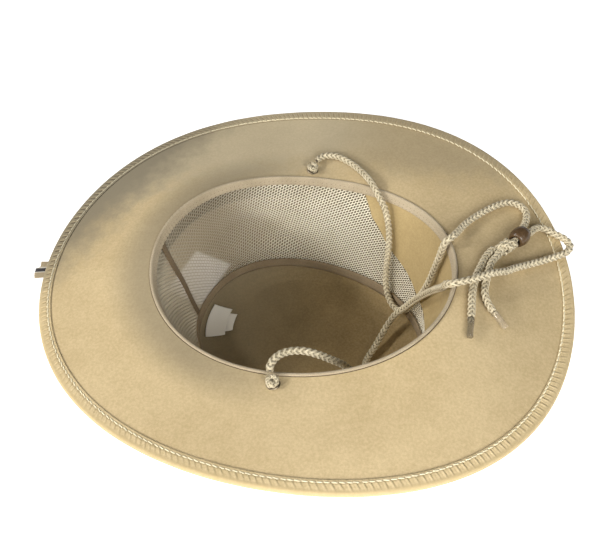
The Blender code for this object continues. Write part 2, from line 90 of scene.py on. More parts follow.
# net: degrees between columns, drop between rows, degrees of lean to a mm, share of a
# cell that its hole takes along its slant and across it, height of a thread's crest
NET_COLUMN = 1.17
NET_ROW = 2.65 * MM
NET_LEAN = 0.16
NET_ALONG = 0.80
NET_ACROSS = 0.545
NET_CREST = 0.34 * MM

# waves round the head: order, cosine part, sine part
RIM_OUT = ((2, 0.0, 0.0084), (3, -0.0119, 0.0084), (4, -0.0107, 0.0))
RIM_RISE = ((1, 0.0181, -0.0121), (2, 0.0181, -0.0413))
WIDTH_WAVES = ((1, 0.0279, 0.0053), (2, 0.057, -0.0186), (3, -0.0186, 0.0053),
               (4, 0.0027, 0.0))
SLOPE_WAVES = ((1, 0.0, 0.17), (2, -8.94, 2.86), (3, -1.48, 1.57), (4, -0.47, 0.48))
PANEL_EDGE = ((0.0, 73.0), (0.25, 67.0), (0.43, 58.0), (0.52, 51.0), (0.60, 40.0),
              (0.70, 29.0), (0.76, 18.0), (0.84, 9.0), (1.0, 6.0))
FOLDS = ((117.0, 55.0, 0.55, -0.0075, 0.30, 0.048),
         (10.0, 16.0, 0.48, 0.0, 0.34, 0.030),
         (250.0, 45.0, 0.55, 0.004, 0.30, 0.030))
FOLD_LIMITS = (0.28, 0.87)
FOLD_FADE = 6.0

# trims
EYELETS = {"far": (92.5, 0.106), "near": (267.0, 0.093)}
EYELET_R = 4.3 * MM
EYELET_BORE_R = 2.0 * MM
BEAD_CENTRE = (140.3, 38.2, 99.0)
BEAD_AXIS = (-0.57, -0.82, 0.09)
BEAD_R = 6.3 * MM
BEAD_HALF = 5.8 * MM
BEAD_BORE_R = 3.0 * MM
KNOT_CENTRE = (131.0, 27.9, 99.8)
KNOT_BELOW = (124.0, 21.0, 99.6)
KNOT_INSIDE = ((137.6, 35.0, 99.3), (133.0, 29.6, 100.0), (128.0, 24.6, 99.8),
               (123.4, 20.4, 99.6))
LABELS = {"label_large": (160.5, 187.0, 0.84, 0.26, 1),
          "label_small": (164.0, 182.5, 0.52, 0.04, 0)}
LABEL_T = 0.7 * MM
LABEL_LIFT = 0.6 * MM
TAIL_Y = -8.3 * MM
TAIL_HALF = 6.7 * MM
TAIL_OVER = 12.6 * MM

# cord: half thickness, length of one turn of its plait, routes in mm
CORD_R = 2.5 * MM
PLAIT = 14.5 * MM
STOPPER_PLAIT = 9.0 * MM
UPPER_SIDE = (0.10, -0.61, 0.79)
FAR_ROUTE = ((-2.2, 96.6, 100.4), (0.4, 100.2, 100.5), (5.4, 102.8, 100.4),
             (13.2, 102.6, 100.0), (22.6, 97.5, 99.5), (31.6, 89.2, 99.3),
             (39.3, 78.3, 99.6), (45.4, 70.0, 94.8), (51.0, 65.8, 85.2),
             (54.6, 61.4, 71.3), (55.9, 55.9, 58.5), (55.8, 51.0, 44.2),
             (56.2, 45.8, 29.5), (59.0, 40.0, 18.6), (64.1, 33.0, 14.6),
             (71.0, 27.4, 18.0), (76.6, 25.4, 30.4), (81.4, 22.9, 46.0),
             (84.8, 22.0, 61.8), (86.8, 22.6, 74.5), (89.0, 23.2, 90.2),
             (89.7, 23.2, 98.0), (91.2, 24.2, 104.0), (96.0, 28.8, 105.1),
             (100.4, 37.2, 102.2), (105.2, 45.6, 100.1),
             (113.6, 55.4, 98.7), (122.9, 64.1, 97.8), (132.1, 70.2, 97.1),
             (138.8, 71.4, 96.4), (144.8, 68.7, 95.6), (147.2, 62.2, 95.2),
             (145.3, 53.2, 96.0), (141.9, 45.3, 98.3))
NEAR_ROUTE = ((-8.1, -84.2, 103.0), (-8.4, -80.6, 103.4), (-6.6, -76.0, 103.2),
              (-3.0, -71.4, 102.0), (2.8, -67.8, 100.2), (9.7, -65.7, 97.8),
              (17.4, -64.6, 93.6), (25.0, -63.4, 87.4), (32.5, -61.0, 78.5),
              (38.5, -57.0, 64.0), (42.5, -50.0, 47.0), (44.6, -39.5, 29.0),
              (45.6, -26.0, 12.0), (46.6, -12.0, 5.9), (51.1, -2.0, 6.6),
              (55.5, 7.2, 9.4), (60.3, 16.2, 14.2), (65.4, 21.4, 21.4),
              (72.0, 22.2, 31.0), (79.2, 16.8, 50.6), (86.6, 5.0, 76.0),
              (90.2, -7.4, 96.0), (91.3, -12.0, 105.4), (94.8, -15.4, 110.8),
              (101.4, -13.4, 111.6), (107.6, -10.2, 110.8), (113.4, -6.6, 109.8),
              (118.4, -3.0, 108.4), (124.0, 0.9, 105.6), (129.4, 5.0, 102.2),
              (134.6, 10.2, 98.9), (141.0, 15.1, 96.2), (151.2, 21.7, 93.3),
              (159.0, 26.4, 92.0), (165.9, 30.6, 91.2), (172.1, 34.9, 90.4),
              (174.8, 38.8, 90.2), (175.2, 42.6, 90.2), (172.2, 46.5, 91.0),
              (166.1, 49.0, 92.3), (158.4, 52.0, 93.8), (152.6, 50.6, 94.9),
              (146.5, 42.2, 98.2))
LONG_TAIL = ((122.1, 25.1, 99.4), (117.0, 16.9, 100.2), (113.6, 8.0, 101.3),
             (109.6, -3.4, 103.0), (107.2, -16.6, 104.1), (106.5, -28.8, 104.3),
             (106.0, -35.2, 104.3))
SHORT_TAIL = ((126.4, 21.8, 99.2), (122.2, 15.3, 100.4), (119.5, 9.2, 101.6),
              (116.2, -5.3, 102.6), (115.0, -15.0, 102.6), (117.4, -22.2, 101.4),
              (120.4, -26.4, 100.4))
LONG_TIP = ((106.0, -35.8, 104.3), (105.1, -48.9, 104.1))
SHORT_TIP = ((120.8, -26.9, 100.3), (127.8, -36.2, 98.3))
TIP_R = 2.3 * MM

# camera: target, distance, turn, height and roll in degrees, lens in mm
LOOK_AT = (-0.0017, -0.0038, 0.09)
LOOK_FROM = (0.45, 9.5125, 51.7773, -2.5307)
LENS = 41.0

# lights: name, place, power, size, colour; they shine on LIT
LIT = (0.0, 0.0, 0.08)
LIGHTS = (("window", (-1.253, -0.221, 0.875), 8.3, 0.20, (1.0, 0.97, 0.91)),
          ("lamp", (-0.985, -0.903, 0.761), 10.5, 0.18, (1.0, 0.955, 0.88)),
          ("near", (0.25, -0.55, 0.43), 4.0, 0.40, (1.0, 0.975, 0.92)),
          ("high", (-1.025, 0.275, 1.141), 4.2, 0.20, (1.0, 0.98, 0.95)),
          ("right", (0.75, -0.45, 0.68), 1.9, 0.70, (1.0, 0.985, 0.95)))
FLOOR_HALF = 6.0


def waves(table, th):
    """Sum over the table of c cos(k th) + s sin(k th)."""
    return sum(c * np.cos(k * th) + s * np.sin(k * th) for k, c, s in table)


def rim_normal(th):
    """Outward direction of the head oval: (cos th / a, sin th / b), made one long."""
    n = np.stack([np.cos(th) / RIM_A, np.sin(th) / RIM_B], -1)
    return n / np.linalg.norm(n, axis=-1, keepdims=True)


def rim_point(th, out):
    """Oval (a cos th, b sin th) moved outwards by its waves and out, at the rim's height."""
    th, out = np.broadcast_arrays(th, out)
    shift = (waves(RIM_OUT, th) * RIM_B + out)[..., None]
    flat = np.stack([RIM_A * np.cos(th), RIM_B * np.sin(th)], -1) + rim_normal(th) * shift
    z = RIM_Z * (1.0 + waves(RIM_RISE, th))
    return np.concatenate([flat, z[..., None]], -1)


def brim_width(th):
    """Width of the brim along its face: its size times one plus its waves."""
    return BRIM_W * (1.0 + waves(WIDTH_WAVES, th))


def brim_slope(th):
    """Angle of the brim above the level, outwards: its mean plus its waves."""
    return np.radians(BRIM_SLOPE + waves(SLOPE_WAVES, th))


def brim_point(th, along, up):
    """Rim point moved outwards along the brim's slope, then raised square to the face."""
    slope = brim_slope(th)
    p = rim_point(th, along * np.cos(slope))
    p[..., 2] += along * np.sin(slope) + up / np.cos(slope)
    return p


def oval_spoke(th, half_a, half_b, power):
    """From the middle of a turned oval to its edge, towards the rim point at th.  Its
    length is (|cos|/a)^p + (|sin|/b)^p, to the power -1/p."""
    angle = np.arctan2(RIM_B * np.sin(th), RIM_A * np.cos(th))
    c = np.abs(np.cos(angle - TURN) / half_a) ** power
    s = np.abs(np.sin(angle - TURN) / half_b) ** power
    length = (c + s) ** (-1.0 / power)
    return length[..., None] * np.stack([np.cos(angle), np.sin(angle)], -1)


def ring_point(th, out):
    """Seam round the crown's top: a turned oval about its centre, moved outwards."""
    flat = RING_CENTRE + oval_spoke(th, RING_A, RING_B, RING_POWER)
    flat = flat + rim_normal(th) * out[..., None]
    return np.concatenate([flat, np.full_like(flat[..., :1], RING_Z)], -1)


def fold_push(th, share):
    """Outward push of the folds: (1 - turn^2)^2 round the head times a soft ridge in depth."""
    push = np.zeros_like(th * share)
    degrees = np.degrees(th) % 360.0
    for centre, half, level, tilt, spread, depth in FOLDS:
        turn = (degrees - centre + 180.0) % 360.0 - 180.0
        side = np.clip(1.0 - (turn / half) ** 2, 0.0, 1.0) ** 2
        height = np.clip(1.0 - np.abs(share - level - tilt * turn) / spread, 0.0, 1.0)
        push = push + depth * RIM_B * side * height ** 1.5 * (3.0 - 2.0 * height)
    return push


def wall_point(th, drop, out):
    """Rim point mixed with seam point by the share of the drop, plus the folds' push."""
    th, drop, out = np.broadcast_arrays(th, drop, out)
    top = rim_point(th, out)
    low = ring_point(th, out)
    share = drop / (top[..., 2] - RING_Z)
    fade = np.minimum(share - FOLD_LIMITS[0], FOLD_LIMITS[1] - share) * FOLD_FADE
    push = fold_push(th, share) * np.clip(fade, 0.0, 1.0)
    p = top * (1.0 - share[..., None]) + low * share[..., None]
    p[..., :2] += rim_normal(th) * push[..., None]
    return p


def wall_depth(th):
    """Drop from the rim to the seam of the crown's top."""
    return rim_point(th, 0.0)[..., 2] - RING_Z


def under_brim(th, out):
    """Drop from the rim to the brim's lower face, a distance out from the rim."""
    slope = brim_slope(th)
    return BRIM_T / np.cos(slope) - out * np.tan(slope) + GAP


def dish_point(th, share, face, up):
    """Crown's top: share -1 is its middle, 0 the edge of the flat oval, 1 the seam.  From
    0 to 1 it rises as a power of the share.  face 0 is the outer skin, 1 the inner."""
    th, share, face, up = np.broadcast_arrays(th, share, face, up)
    spoke = oval_spoke(th, FLOOR_A, FLOOR_B, 2.0)
    flat = FLOOR_CENTRE + spoke * np.minimum(1.0 + share, 1.0)[..., None]
    seam = ring_point(th, WALL_IN + WALL_T - TOP_T * face)[..., :2]
    rise = np.maximum(share, 0.0)
    flat = flat * (1.0 - rise[..., None]) + seam * rise[..., None]
    base = TOP_T * face
    z = base + (RING_Z - 0.5 * GAP - base) * rise ** DISH_POWER + up
    return np.concatenate([flat, z[..., None]], -1)


def full_turn(count=720):
    """Even angles all the way round, the first one again at the end."""
    return np.linspace(0.0, TAU, count + 1)


def ripple(a, b, seed, top=7):
    """Soft unevenness between -1 and 1: six sines of a and b with chosen turns."""
    rng = np.random.default_rng(seed)
    p, q, shift = rng.uniform(1, top, 6), rng.uniform(1, top, 6), rng.uniform(0, TAU, 6)
    return sum(np.sin(np.round(x) * a + y * b + s) for x, y, s in zip(p, q, shift)) / 6.0


def columns(rows):
    """The columns of a table, each one standing, to be spread round the head."""
    return np.array(rows).T[..., None]


def walked(points):
    """Length along a line up to each of its points."""
    step = np.linalg.norm(np.diff(points, axis=-2), axis=-1)
    return np.concatenate([0.0 * step[..., :1], np.cumsum(step, axis=-1)], -1)


def with_cloth(points, u, v):
    """The points with two lengths along the cloth, given in metres and kept in mm."""
    u, v = np.broadcast_arrays(u, v)
    cloth = np.broadcast_to(np.stack([u, v], -1) / MM, points.shape[:-1] + (2,))
    return np.concatenate([points, cloth], -1)


def looped(grid):
    """The grid with its first row again at the end, which closes its section."""
    return np.concatenate([grid, grid[:1]])


def slab(outer, inner, closed=False):
    """Closed sheet: one skin, the other backwards, the first row again.  Unless it runs
    all the way round, both end columns are drawn together to their middle line."""
    loop = looped(np.concatenate([outer, inner[::-1]]))
    if closed:
        return loop
    middle = 0.5 * (outer + inner)
    ends = looped(np.concatenate([middle, middle[::-1]]))
    return np.concatenate([ends[:, :1], loop, ends[:, -1:]], axis=1)


def rod(path, across, over, wide, tall, sides):
    """Closed rods: round each line an ellipse, wide along across and tall along over."""
    turn = full_turn(sides)
    ring = (np.cos(turn)[:, None] * across[..., None, :] * np.asarray(wide)[..., None, None]
            + np.sin(turn)[:, None] * over[..., None, :] * np.asarray(tall)[..., None, None])
    points = path[..., None, :] + ring
    first = np.repeat(path[..., :1, None, :], sides + 1, axis=-2)
    last = np.repeat(path[..., -1:, None, :], sides + 1, axis=-2)
    points = np.concatenate([first, points, last], axis=-3)
    return with_cloth(points, turn / TAU * MM, walked(points[..., 0, :])[..., None])


def add_object(name, data):
    """A new object in the scene, at the origin."""
    made = bpy.data.objects.new(name, data)
    bpy.context.scene.collection.objects.link(made)
    return made


def piece(name, parts, finishes, node=None):
    """One mesh from grids, each with the number of its finish and, if some of its faces
    are left out, a mask of those that are shown: each cell is a face, points that meet
    are welded, and a grid is turned outwards by the sign of the volume that all of its
    faces close."""
    points, corners, which = [], [], []
    start = 0
    for grid, number, *shown in parts:
        grid = grid.reshape((-1,) + grid.shape[-3:])
        n = np.arange(grid[..., 0].size).reshape(grid.shape[:3])
        quad = np.stack([n[:, :-1, :-1], n[:, :-1, 1:], n[:, 1:, 1:], n[:, 1:, :-1]], -1)
        quad = quad.reshape(-1, 4)
        flat = grid.reshape(-1, 5)
        a, b, c, d = (flat[quad[:, k], :3] - flat[:, :3].mean(0) for k in range(4))
        volume = np.sum(np.cross(a, b) * c) + np.sum(np.cross(a, c) * d)
        quad = (quad[:, ::-1] if volume < 0 else quad) + start
        corners.append(quad[shown[0].ravel()] if shown else quad)
        which.append(np.full(len(corners[-1]), number))
        points.append(flat)
        start += len(flat)
    return finish_mesh(name, np.concatenate(points), np.concatenate(corners),
                       np.concatenate(which), finishes, node)


def plain_piece(name, grid, finish, node):
    """A piece of one grid in one finish."""
    return piece(name, [(grid, 0)], [finish], node)


def finish_mesh(name, flat, corners, which, finishes, node):
    """Weld points that meet, drop corners that fell together, and make the object."""
    key = np.round(flat[:, :3] / 2e-7).astype(np.int64)
    _, first, index = np.unique(key, axis=0, return_index=True, return_inverse=True)
    index = index.reshape(-1)
    face = index[corners]
    keep = face != np.roll(face, 1, axis=1)
    sides = keep.sum(1)
    whole = sides >= 3
    corners, face, keep, sides, which = (x[whole] for x in (corners, face, keep, sides, which))
    loops, uv = face[keep], flat[corners[keep], 3:]
    mesh = bpy.data.meshes.new(name)
    mesh.vertices.add(len(first))
    mesh.vertices.foreach_set("co", flat[first, :3].astype(np.float32).ravel())
    mesh.loops.add(len(loops))
    mesh.loops.foreach_set("vertex_index", loops.astype(np.int32))
    mesh.polygons.add(len(face))
    mesh.polygons.foreach_set("loop_start", (np.cumsum(sides) - sides).astype(np.int32))
    mesh.polygons.foreach_set("material_index", which.astype(np.int32))
    mesh.polygons.foreach_set("use_smooth", np.ones(len(face), bool))
    layer = mesh.uv_layers.new(name="cloth")
    layer.data.foreach_set("uv", uv.astype(np.float32).ravel())
    mesh.update(calc_edges=True)
    mesh.validate()
    for made in finishes:
        mesh.materials.append(made)
    obj = add_object(name, mesh)
    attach(obj, "root")
    if node:
        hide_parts(node)
    return obj


class Wire:
    """A shader socket used as a value: + - * /, powers and abs add Math nodes."""

    def __init__(self, tree, socket=None):
        self.tree = tree
        self.socket = socket

    def node(self, kind, settings=(), inputs=(), out=0):
        """Add a node: its settings first, then each socket's value or link."""
        made = self.tree.nodes.new(kind)
        for key, value in dict(settings).items():
            if key == "stops":
                self.set_stops(made.color_ramp, value)
            else:
                setattr(made, key, value)
        self.feed(made, inputs)
        return Wire(self.tree, made.outputs[out])

    def feed(self, node, inputs):
        """Give each named socket its value or link."""
        for key, value in dict(inputs).items():
            if isinstance(value, Wire):
                self.tree.links.new(value.socket, node.inputs[key])
            else:
                node.inputs[key].default_value = value

    @staticmethod
    def set_stops(ramp, stops):
        """Stops of a ramp: position and linear colour."""
        while len(ramp.elements) < len(stops):
            ramp.elements.new(0.5)
        for element, (position, colour) in zip(ramp.elements, stops):
            element.position = position
            element.color = (*colour, 1.0)

    def math(self, operation, *values):
        """A Math node on this value and others."""
        inputs = dict(enumerate((self,) + values))
        return self.node("ShaderNodeMath", {"operation": operation}, inputs)

    def __add__(self, other):
        return self.math("ADD", other)

    __radd__ = __add__

    def __mul__(self, other):
        return self.math("MULTIPLY", other)

    __rmul__ = __mul__

    def __sub__(self, other):
        return self.math("SUBTRACT", other)

    def __rsub__(self, other):
        return (self * -1.0) + other

    def __truediv__(self, other):
        return self.math("DIVIDE", other)

    def __pow__(self, other):
        return self.math("POWER", other)

    def __abs__(self):
        return self.math("ABSOLUTE")

    def ramp(self, low, high):
        """0 below low, 1 above high, smooth between; high may be the lower one."""
        return self.node("ShaderNodeMapRange", {"interpolation_type": "SMOOTHSTEP"},
                         {"Value": self, "From Min": low, "From Max": high})

    def near(self, middle, half):
        """1 at the middle, falling smoothly to 0 at half either side."""
        return abs(self - middle).ramp(half, 0.0)

    def tile(self, pitch):
        """Where the value stands in its repeat, from -0.5 to 0.5."""
        return (self / pitch).math("FRACT") - 0.5

    def wave(self, pitch):
        """Sine from -1 to 1 that repeats after each pitch."""
        return (self * (TAU / pitch)).math("SINE")

    def parts(self):
        """The x, y and z of a vector."""
        first = self.node("ShaderNodeSeparateXYZ", (), {0: self})
        return [Wire(self.tree, out) for out in first.socket.node.outputs]

    def noise(self, scale, detail=2.0, rough=0.5):
        """Noise at these coordinates, from 0 to 1."""
        return self.node("ShaderNodeTexNoise", (), {"Vector": self, "Scale": scale,
                                                    "Detail": detail, "Roughness": rough})

    def stretched(self, scale, turn=(0.0, 0.0, 0.0)):
        """These coordinates turned, then stretched."""
        return self.node("ShaderNodeMapping", (), {"Vector": self, "Rotation": turn,
                                                   "Scale": scale})

    def mix(self, a, b):
        """Colour a where this value is 0 and b where it is 1."""
        a, b = (x if isinstance(x, Wire) else (*x, 1.0) for x in (a, b))
        return self.node("ShaderNodeMix", {"data_type": "RGBA"}, {0: self, 6: a, 7: b}, 2)


def layered(colour, *layers):
    """The colour with each layer's tint laid over it where the layer's mask is 1."""
    for mask, tint in layers:
        colour = mask.mix(colour, tint)
    return colour


def new_finish(name):
    """A material's tree to add to, its coordinates in space and along the cloth."""
    made = bpy.data.materials.new(name)
    made.use_nodes = True
    tree = Wire(made.node_tree)
    place = tree.node("ShaderNodeTexCoord", out=3)
    cloth = tree.node("ShaderNodeTexCoord", out=2)
    return made, place, cloth


def close_finish(made, colour, roughness, height, depth, strength=1.0, **constants):
    """Join colour, roughness and relief (mm) to the shader; constants go on its sockets."""
    shader = made.node_tree.nodes["Principled BSDF"]
    tree = Wire(made.node_tree)
    relief = tree.node("ShaderNodeBump", (), {"Strength": strength, "Height": height,
                                              "Distance": depth * MM})
    tree.feed(shader, {"Base Color": colour, "Roughness": roughness, "Normal": relief})
    tree.feed(shader, {key.replace("_", " "): value for key, value in constants.items()})
    return made


def suede(name, light, dark, edge=None, grooves=None):
    """Napped leather: cloudy patches, fine speckle, brushed streaks and short fibres,
    under painted shade: a pale grey cast at the back left, and darkening that thickens to
    the far left corner, over the far side and round the rim on the left.  edge paints the
    cut edge dark, where the cloth's second length is below 1 mm, as painted shade of the
    gap under the sweatband's roll.  grooves paints shade in the hollows beside the
    binding's puckers and a highlight on their crests, paints shade on the strip's own cut
    edge and over its far side, and darkens it towards its outer edge on the near side."""
    made, place, cloth = new_finish(name)
    clouds = place.noise(17.0, 3.0, 0.55).ramp(0.34, 0.68)
    patches = place.noise(90.0, 4.0, 0.6).ramp(0.3, 0.72)
    streaks = place.stretched((260.0, 900.0, 400.0), (0.0, 0.0, 0.5)).noise(1.0, 3.0)
    fibres = place.noise(2400.0, 2.0, 0.6)
    speckle = place.noise(620.0, 3.0, 0.75)
    worn = clouds * 0.26 + patches * 0.16 + speckle.ramp(0.28, 0.72) * 0.52 + streaks * 0.06
    x, y, _ = place.parts()
    # painted shade: a pale grey cast at the back left
    grey_shade = (y - x * 0.35 + patches * 0.01).ramp(0.080, 0.125) * x.ramp(0.06, 0.0) * 0.42
    # painted shade that thickens to the far left corner
    corner = (y * 0.6 - x + patches * 0.012).ramp(0.138, 0.190) * 0.86
    # painted shade over the far side
    far = (y + patches * 0.01).ramp(0.080, 0.115) * x.ramp(-0.02, 0.05) * 0.44
    # painted shade inside the rim and round it on the left
    from_rim = (x / 0.1) ** 2.0 + (y / 0.084) ** 2.0
    rim = from_rim.ramp(1.8, 1.1) * x.ramp(0.03, -0.07) * 0.62
    # the darkest of these painted shades at each point
    painted_shade = corner.math("MAXIMUM", far).math("MAXIMUM", rim)
    colour = layered(worn.mix(dark, light), (grey_shade, (0.43, 0.41, 0.335)),
                     (painted_shade, (0.205, 0.18, 0.13)))
    u, v, _ = cloth.parts()
    if edge:
        # painted shade of the gap under the sweatband's roll, on the cut edge
        colour = v.ramp(1.35, 0.95).mix(colour, edge)
    if grooves:
        turn = u / (RIB_STEP / MM)
        over = v.ramp(1.9, 2.9) * v.ramp(7.6, 5.6)
        # painted shade in the hollows beside the puckers
        hollow_shade = abs((turn - 0.24).tile(1.0)).ramp(0.30, 0.5) * over
        # painted highlight on the puckers' crests
        crest = abs((turn + 0.03).tile(1.0)).ramp(0.36, 0.48) * over
        # painted shade of the far left corner and the grey cast, which makes hollows and cut
        # edge darker
        soil_and_shade = corner.math("MAXIMUM", grey_shade)
        hollow_shade_colour = soil_and_shade.mix(grooves, (0.05, 0.042, 0.03))
        # painted shade on the strip's own cut edge
        cut = soil_and_shade.mix((0.20, 0.145, 0.08), (0.03, 0.025, 0.02))
        colour = layered(colour, (crest * 0.30, light),
                         (hollow_shade * (0.20 + patches * 0.40 + soil_and_shade * 0.9), hollow_shade_colour),
                         # darker towards the strip's outer edge on the near side
                         (v.ramp(6.2, 8.2) * y.ramp(-0.03, -0.11) * 0.6, dark),
                         # painted shade over the far side of the strip
                         (y.ramp(0.09, 0.13) * 0.45, (0.28, 0.235, 0.155)),
                         (v.ramp(0.60, 0.40), cut))
    height = fibres * 0.55 + speckle * 0.6 + streaks * 0.1
    roughness = 0.86 + fibres * 0.12
    return close_finish(made, colour, roughness, height, 0.14, 0.8, Sheen_Weight=0.22,
                        Sheen_Roughness=0.45, Sheen_Tint=(0.95, 0.88, 0.72, 1.0),
                        Specular_IOR_Level=0.18)


def tape(name, light, dark, dots, rows):
    """Woven cotton tape: twill of warp and weft 0.75 mm apart, flecks, and stitch holes
    in rows at given lengths across it."""
    made, place, cloth = new_finish(name)
    u, v, _ = cloth.parts()
    warp = (u + v).wave(0.8)
    weft = (u - v * 0.6).wave(0.7)
    flecks = cloth.noise(1.5, 2.0, 0.7).ramp(0.42, 0.62)
    soil_and_shade = place.noise(60.0, 3.0).ramp(0.3, 0.7)
    weave = (warp * weft) * 0.5 + 0.5
    tone = weave * 0.35 + flecks * 0.35 + soil_and_shade * 0.30
    colour = tone.mix(dark, light)
    lines = sum((v.near(row, 0.5) for row in rows[1:]), v.near(rows[0], 0.5))
    holes = u.tile(3.1).near(0.0, 0.15) * lines
    colour = holes.mix(colour, dots)
    height = weave * 0.7 + flecks * 0.3 - holes
    return close_finish(made, colour, 0.84 + weave * 0.1, height, 0.16, 0.8,
                        Sheen_Weight=0.1, Specular_IOR_Level=0.25)


def net_thread():
    """Knitted net: twisted filaments, faded in places, with painted shade towards the back."""
    made, place, _ = new_finish("net_thread")
    twist = place.noise(1500.0, 2.0, 0.6)
    fade = place.noise(30.0, 3.0).ramp(0.3, 0.7)
    tone = twist.ramp(0.3, 0.7) * 0.5 + fade * 0.5
    x, y, _ = place.parts()
    # painted shade towards the back of the crown
    back_shade = (abs(y) * 0.3 - x).ramp(0.045, 0.095) * 0.88
    own_tone = tone.mix((0.74, 0.675, 0.53), (0.96, 0.915, 0.77))
    colour = back_shade.mix(own_tone, (0.33, 0.285, 0.205))
    return close_finish(made, colour, 0.70 + twist * 0.2, twist, 0.06, 0.6,
                        Sheen_Weight=0.15, Specular_IOR_Level=0.3)


def plaited_yarn(name, light, dark):
    """Bundle of filaments: noise drawn out along the yarn, paler on its crown and with
    painted shade on its flanks, and painted shade towards the far left corner."""
    made, place, cloth = new_finish(name)
    u, v, _ = cloth.parts()
    drawn = cloth.node("ShaderNodeCombineXYZ", (), {0: u * 7.0 + v * 0.5, 1: v * 0.35,
                                                    2: place.parts()[2] * 40.0})
    filaments = drawn.noise(1.3, 3.0, 0.6)
    wear = place.noise(120.0, 3.0).ramp(0.3, 0.7)
    # painted shade on the yarns' flanks between them, lighter on their crowns
    crown = u.near(0.25, 0.24)
    tone = filaments.ramp(0.3, 0.72) * 0.35 + wear * 0.15 + crown * 0.50
    x, y, _ = place.parts()
    # painted shade towards the far left corner, as on the brim
    soil_and_shade = (y * 0.6 - x).ramp(0.125, 0.185) * 0.6
    colour = soil_and_shade.mix(tone.mix(dark, light), (0.30, 0.27, 0.20))
    return close_finish(made, colour, 0.62 + filaments * 0.25, filaments, 0.14, 0.9,
                        Sheen_Weight=0.2, Specular_IOR_Level=0.35)


def striped_ribbon():
    """Ribbed ribbon: khaki edges, a white line each side of a black stripe; its back,
    whose second length is over 20 mm, is painted dark as shade."""
    made, _, cloth = new_finish("striped_ribbon")
    u, v, _ = cloth.parts()
    ribs = u.wave(0.85)
    yarn = cloth.stretched((3.0, 12.0, 1.0)).noise(1.0, 2.0)
    khaki = yarn.mix((0.30, 0.235, 0.15), (0.44, 0.36, 0.235))
    colour = layered(khaki, (v.near(0.0, 2.9).ramp(0.0, 0.25), (0.66, 0.62, 0.54)),
                     (v.near(0.0, 1.9).ramp(0.0, 0.25), (0.028, 0.026, 0.030)),
                     # painted shade on the ribbon's back
                     (v.ramp(20.0, 21.0), (0.15, 0.112, 0.062)))
    height = ribs * 0.5 + yarn * 0.4
    return close_finish(made, colour, 0.66 + yarn * 0.2, height, 0.14, 0.8,
                        Sheen_Weight=0.15, Specular_IOR_Level=0.35)


def woven_label():
    """Plain satin tag: fine lines of weft over warp."""
    made, _, cloth = new_finish("woven_label")
    u, v, _ = cloth.parts()
    weft = v.wave(0.42)
    warp = u.wave(0.55)
    thread = cloth.stretched((1.2, 7.0, 1.0)).noise(1.0, 2.0)
    colour = thread.mix((0.78, 0.755, 0.70), (0.90, 0.885, 0.84))
    height = weft * 0.35 + warp * 0.2 + thread * 0.3
    return close_finish(made, colour, 0.5 + thread * 0.25, height, 0.08, 0.7,
                        Sheen_Weight=0.2, Specular_IOR_Level=0.4)


def turned_wood():
    """Stained wood: growth lines along the bore, dark pores, a worn polish."""
    made, place, cloth = new_finish("turned_wood")
    u = cloth.parts()[0]
    grain = cloth.stretched((2.2, 0.35, 1.0)).noise(1.0, 4.0, 0.6)
    lines = ((grain * 14.0 + u * 1.4) * 2.0).math("SINE") * 0.5 + 0.5
    pores = place.noise(1100.0, 2.0).ramp(0.36, 0.28)
    tone = lines * 0.5 + grain * 0.5
    colour = pores.mix(tone.mix((0.050, 0.028, 0.012), (0.145, 0.086, 0.040)),
                       (0.018, 0.010, 0.007))
    height = grain * 0.4 - pores * 0.6
    return close_finish(made, colour, 0.30 + grain * 0.16 + pores * 0.2, height, 0.12, 0.6,
                        Coat_Weight=0.4, Coat_Roughness=0.14, Specular_IOR_Level=0.4)


def old_metal():
    """Plated eyelet: brushed, duller and darker in tarnished patches."""
    made, place, _ = new_finish("old_metal")
    scratch = place.stretched((900.0, 3000.0, 1500.0)).noise(1.0, 3.0)
    tarnish = place.noise(420.0, 3.0).ramp(0.42, 0.66)
    colour = tarnish.mix((0.30, 0.25, 0.18), (0.12, 0.10, 0.07))
    return close_finish(made, colour, 0.34 + scratch * 0.2 + tarnish * 0.2, scratch, 0.03,
                        0.5, Metallic=1.0)


def clear_sleeve(name, light, dark, cover):
    """Shrunk plastic, see-through but for its cover, with long soft wrinkles."""
    made, place, cloth = new_finish(name)
    wrinkle = cloth.stretched((6.0, 0.3, 1.0)).noise(1.0, 2.0)
    cloudy = place.noise(300.0, 2.0).ramp(0.3, 0.7)
    colour = cloudy.mix(dark, light)
    return close_finish(made, colour, 0.12 + wrinkle * 0.15, wrinkle, 0.2, 0.6,
                        Alpha=cover, Coat_Weight=0.8, Coat_Roughness=0.08)


def pale_floor():
    """Off-white paper that glows a little, painted light that washes out the hat's shadow,
    but not in the oval of shade round the crown; in a smaller oval under the hat's far
    side it is painted with shade, and one slanted square at the back left glows as a
    painted pool of light."""
    made, place, _ = new_finish("studio_paper")
    grain = place.noise(700.0, 2.0)
    x, y, _ = place.parts()
    white = grain.mix((0.90, 0.90, 0.90), (0.94, 0.94, 0.94))
    away = ((x + 0.013) / 0.205) ** 2.0 + ((y - 0.080) / 0.165) ** 2.0
    under = ((x + 0.03) / 0.165) ** 2.0 + ((y - 0.098) / 0.125) ** 2.0
    # painted shade on the floor under the hat's far side
    colour = under.ramp(0.55, 1.10).mix((0.25, 0.195, 0.12), white)
    x, y = x + 0.0968, y - 0.0558
    along, across = x * 0.326 + y * 0.946, x * 0.946 - y * 0.326
    # a painted pool of light that glows
    light_pool = abs(along).ramp(0.0255, 0.0215) * abs(across).ramp(0.0190, 0.0150)
    glow = away.ramp(0.70, 1.0).math("MAXIMUM", light_pool * 0.45)
    glow = glow.mix((0.0, 0.0, 0.0), (1.0, 1.0, 1.0))
    return close_finish(made, colour, 0.9 + grain * 0.05, grain, 0.02, 0.2,
                        Emission_Color=glow, Emission_Strength=0.75)


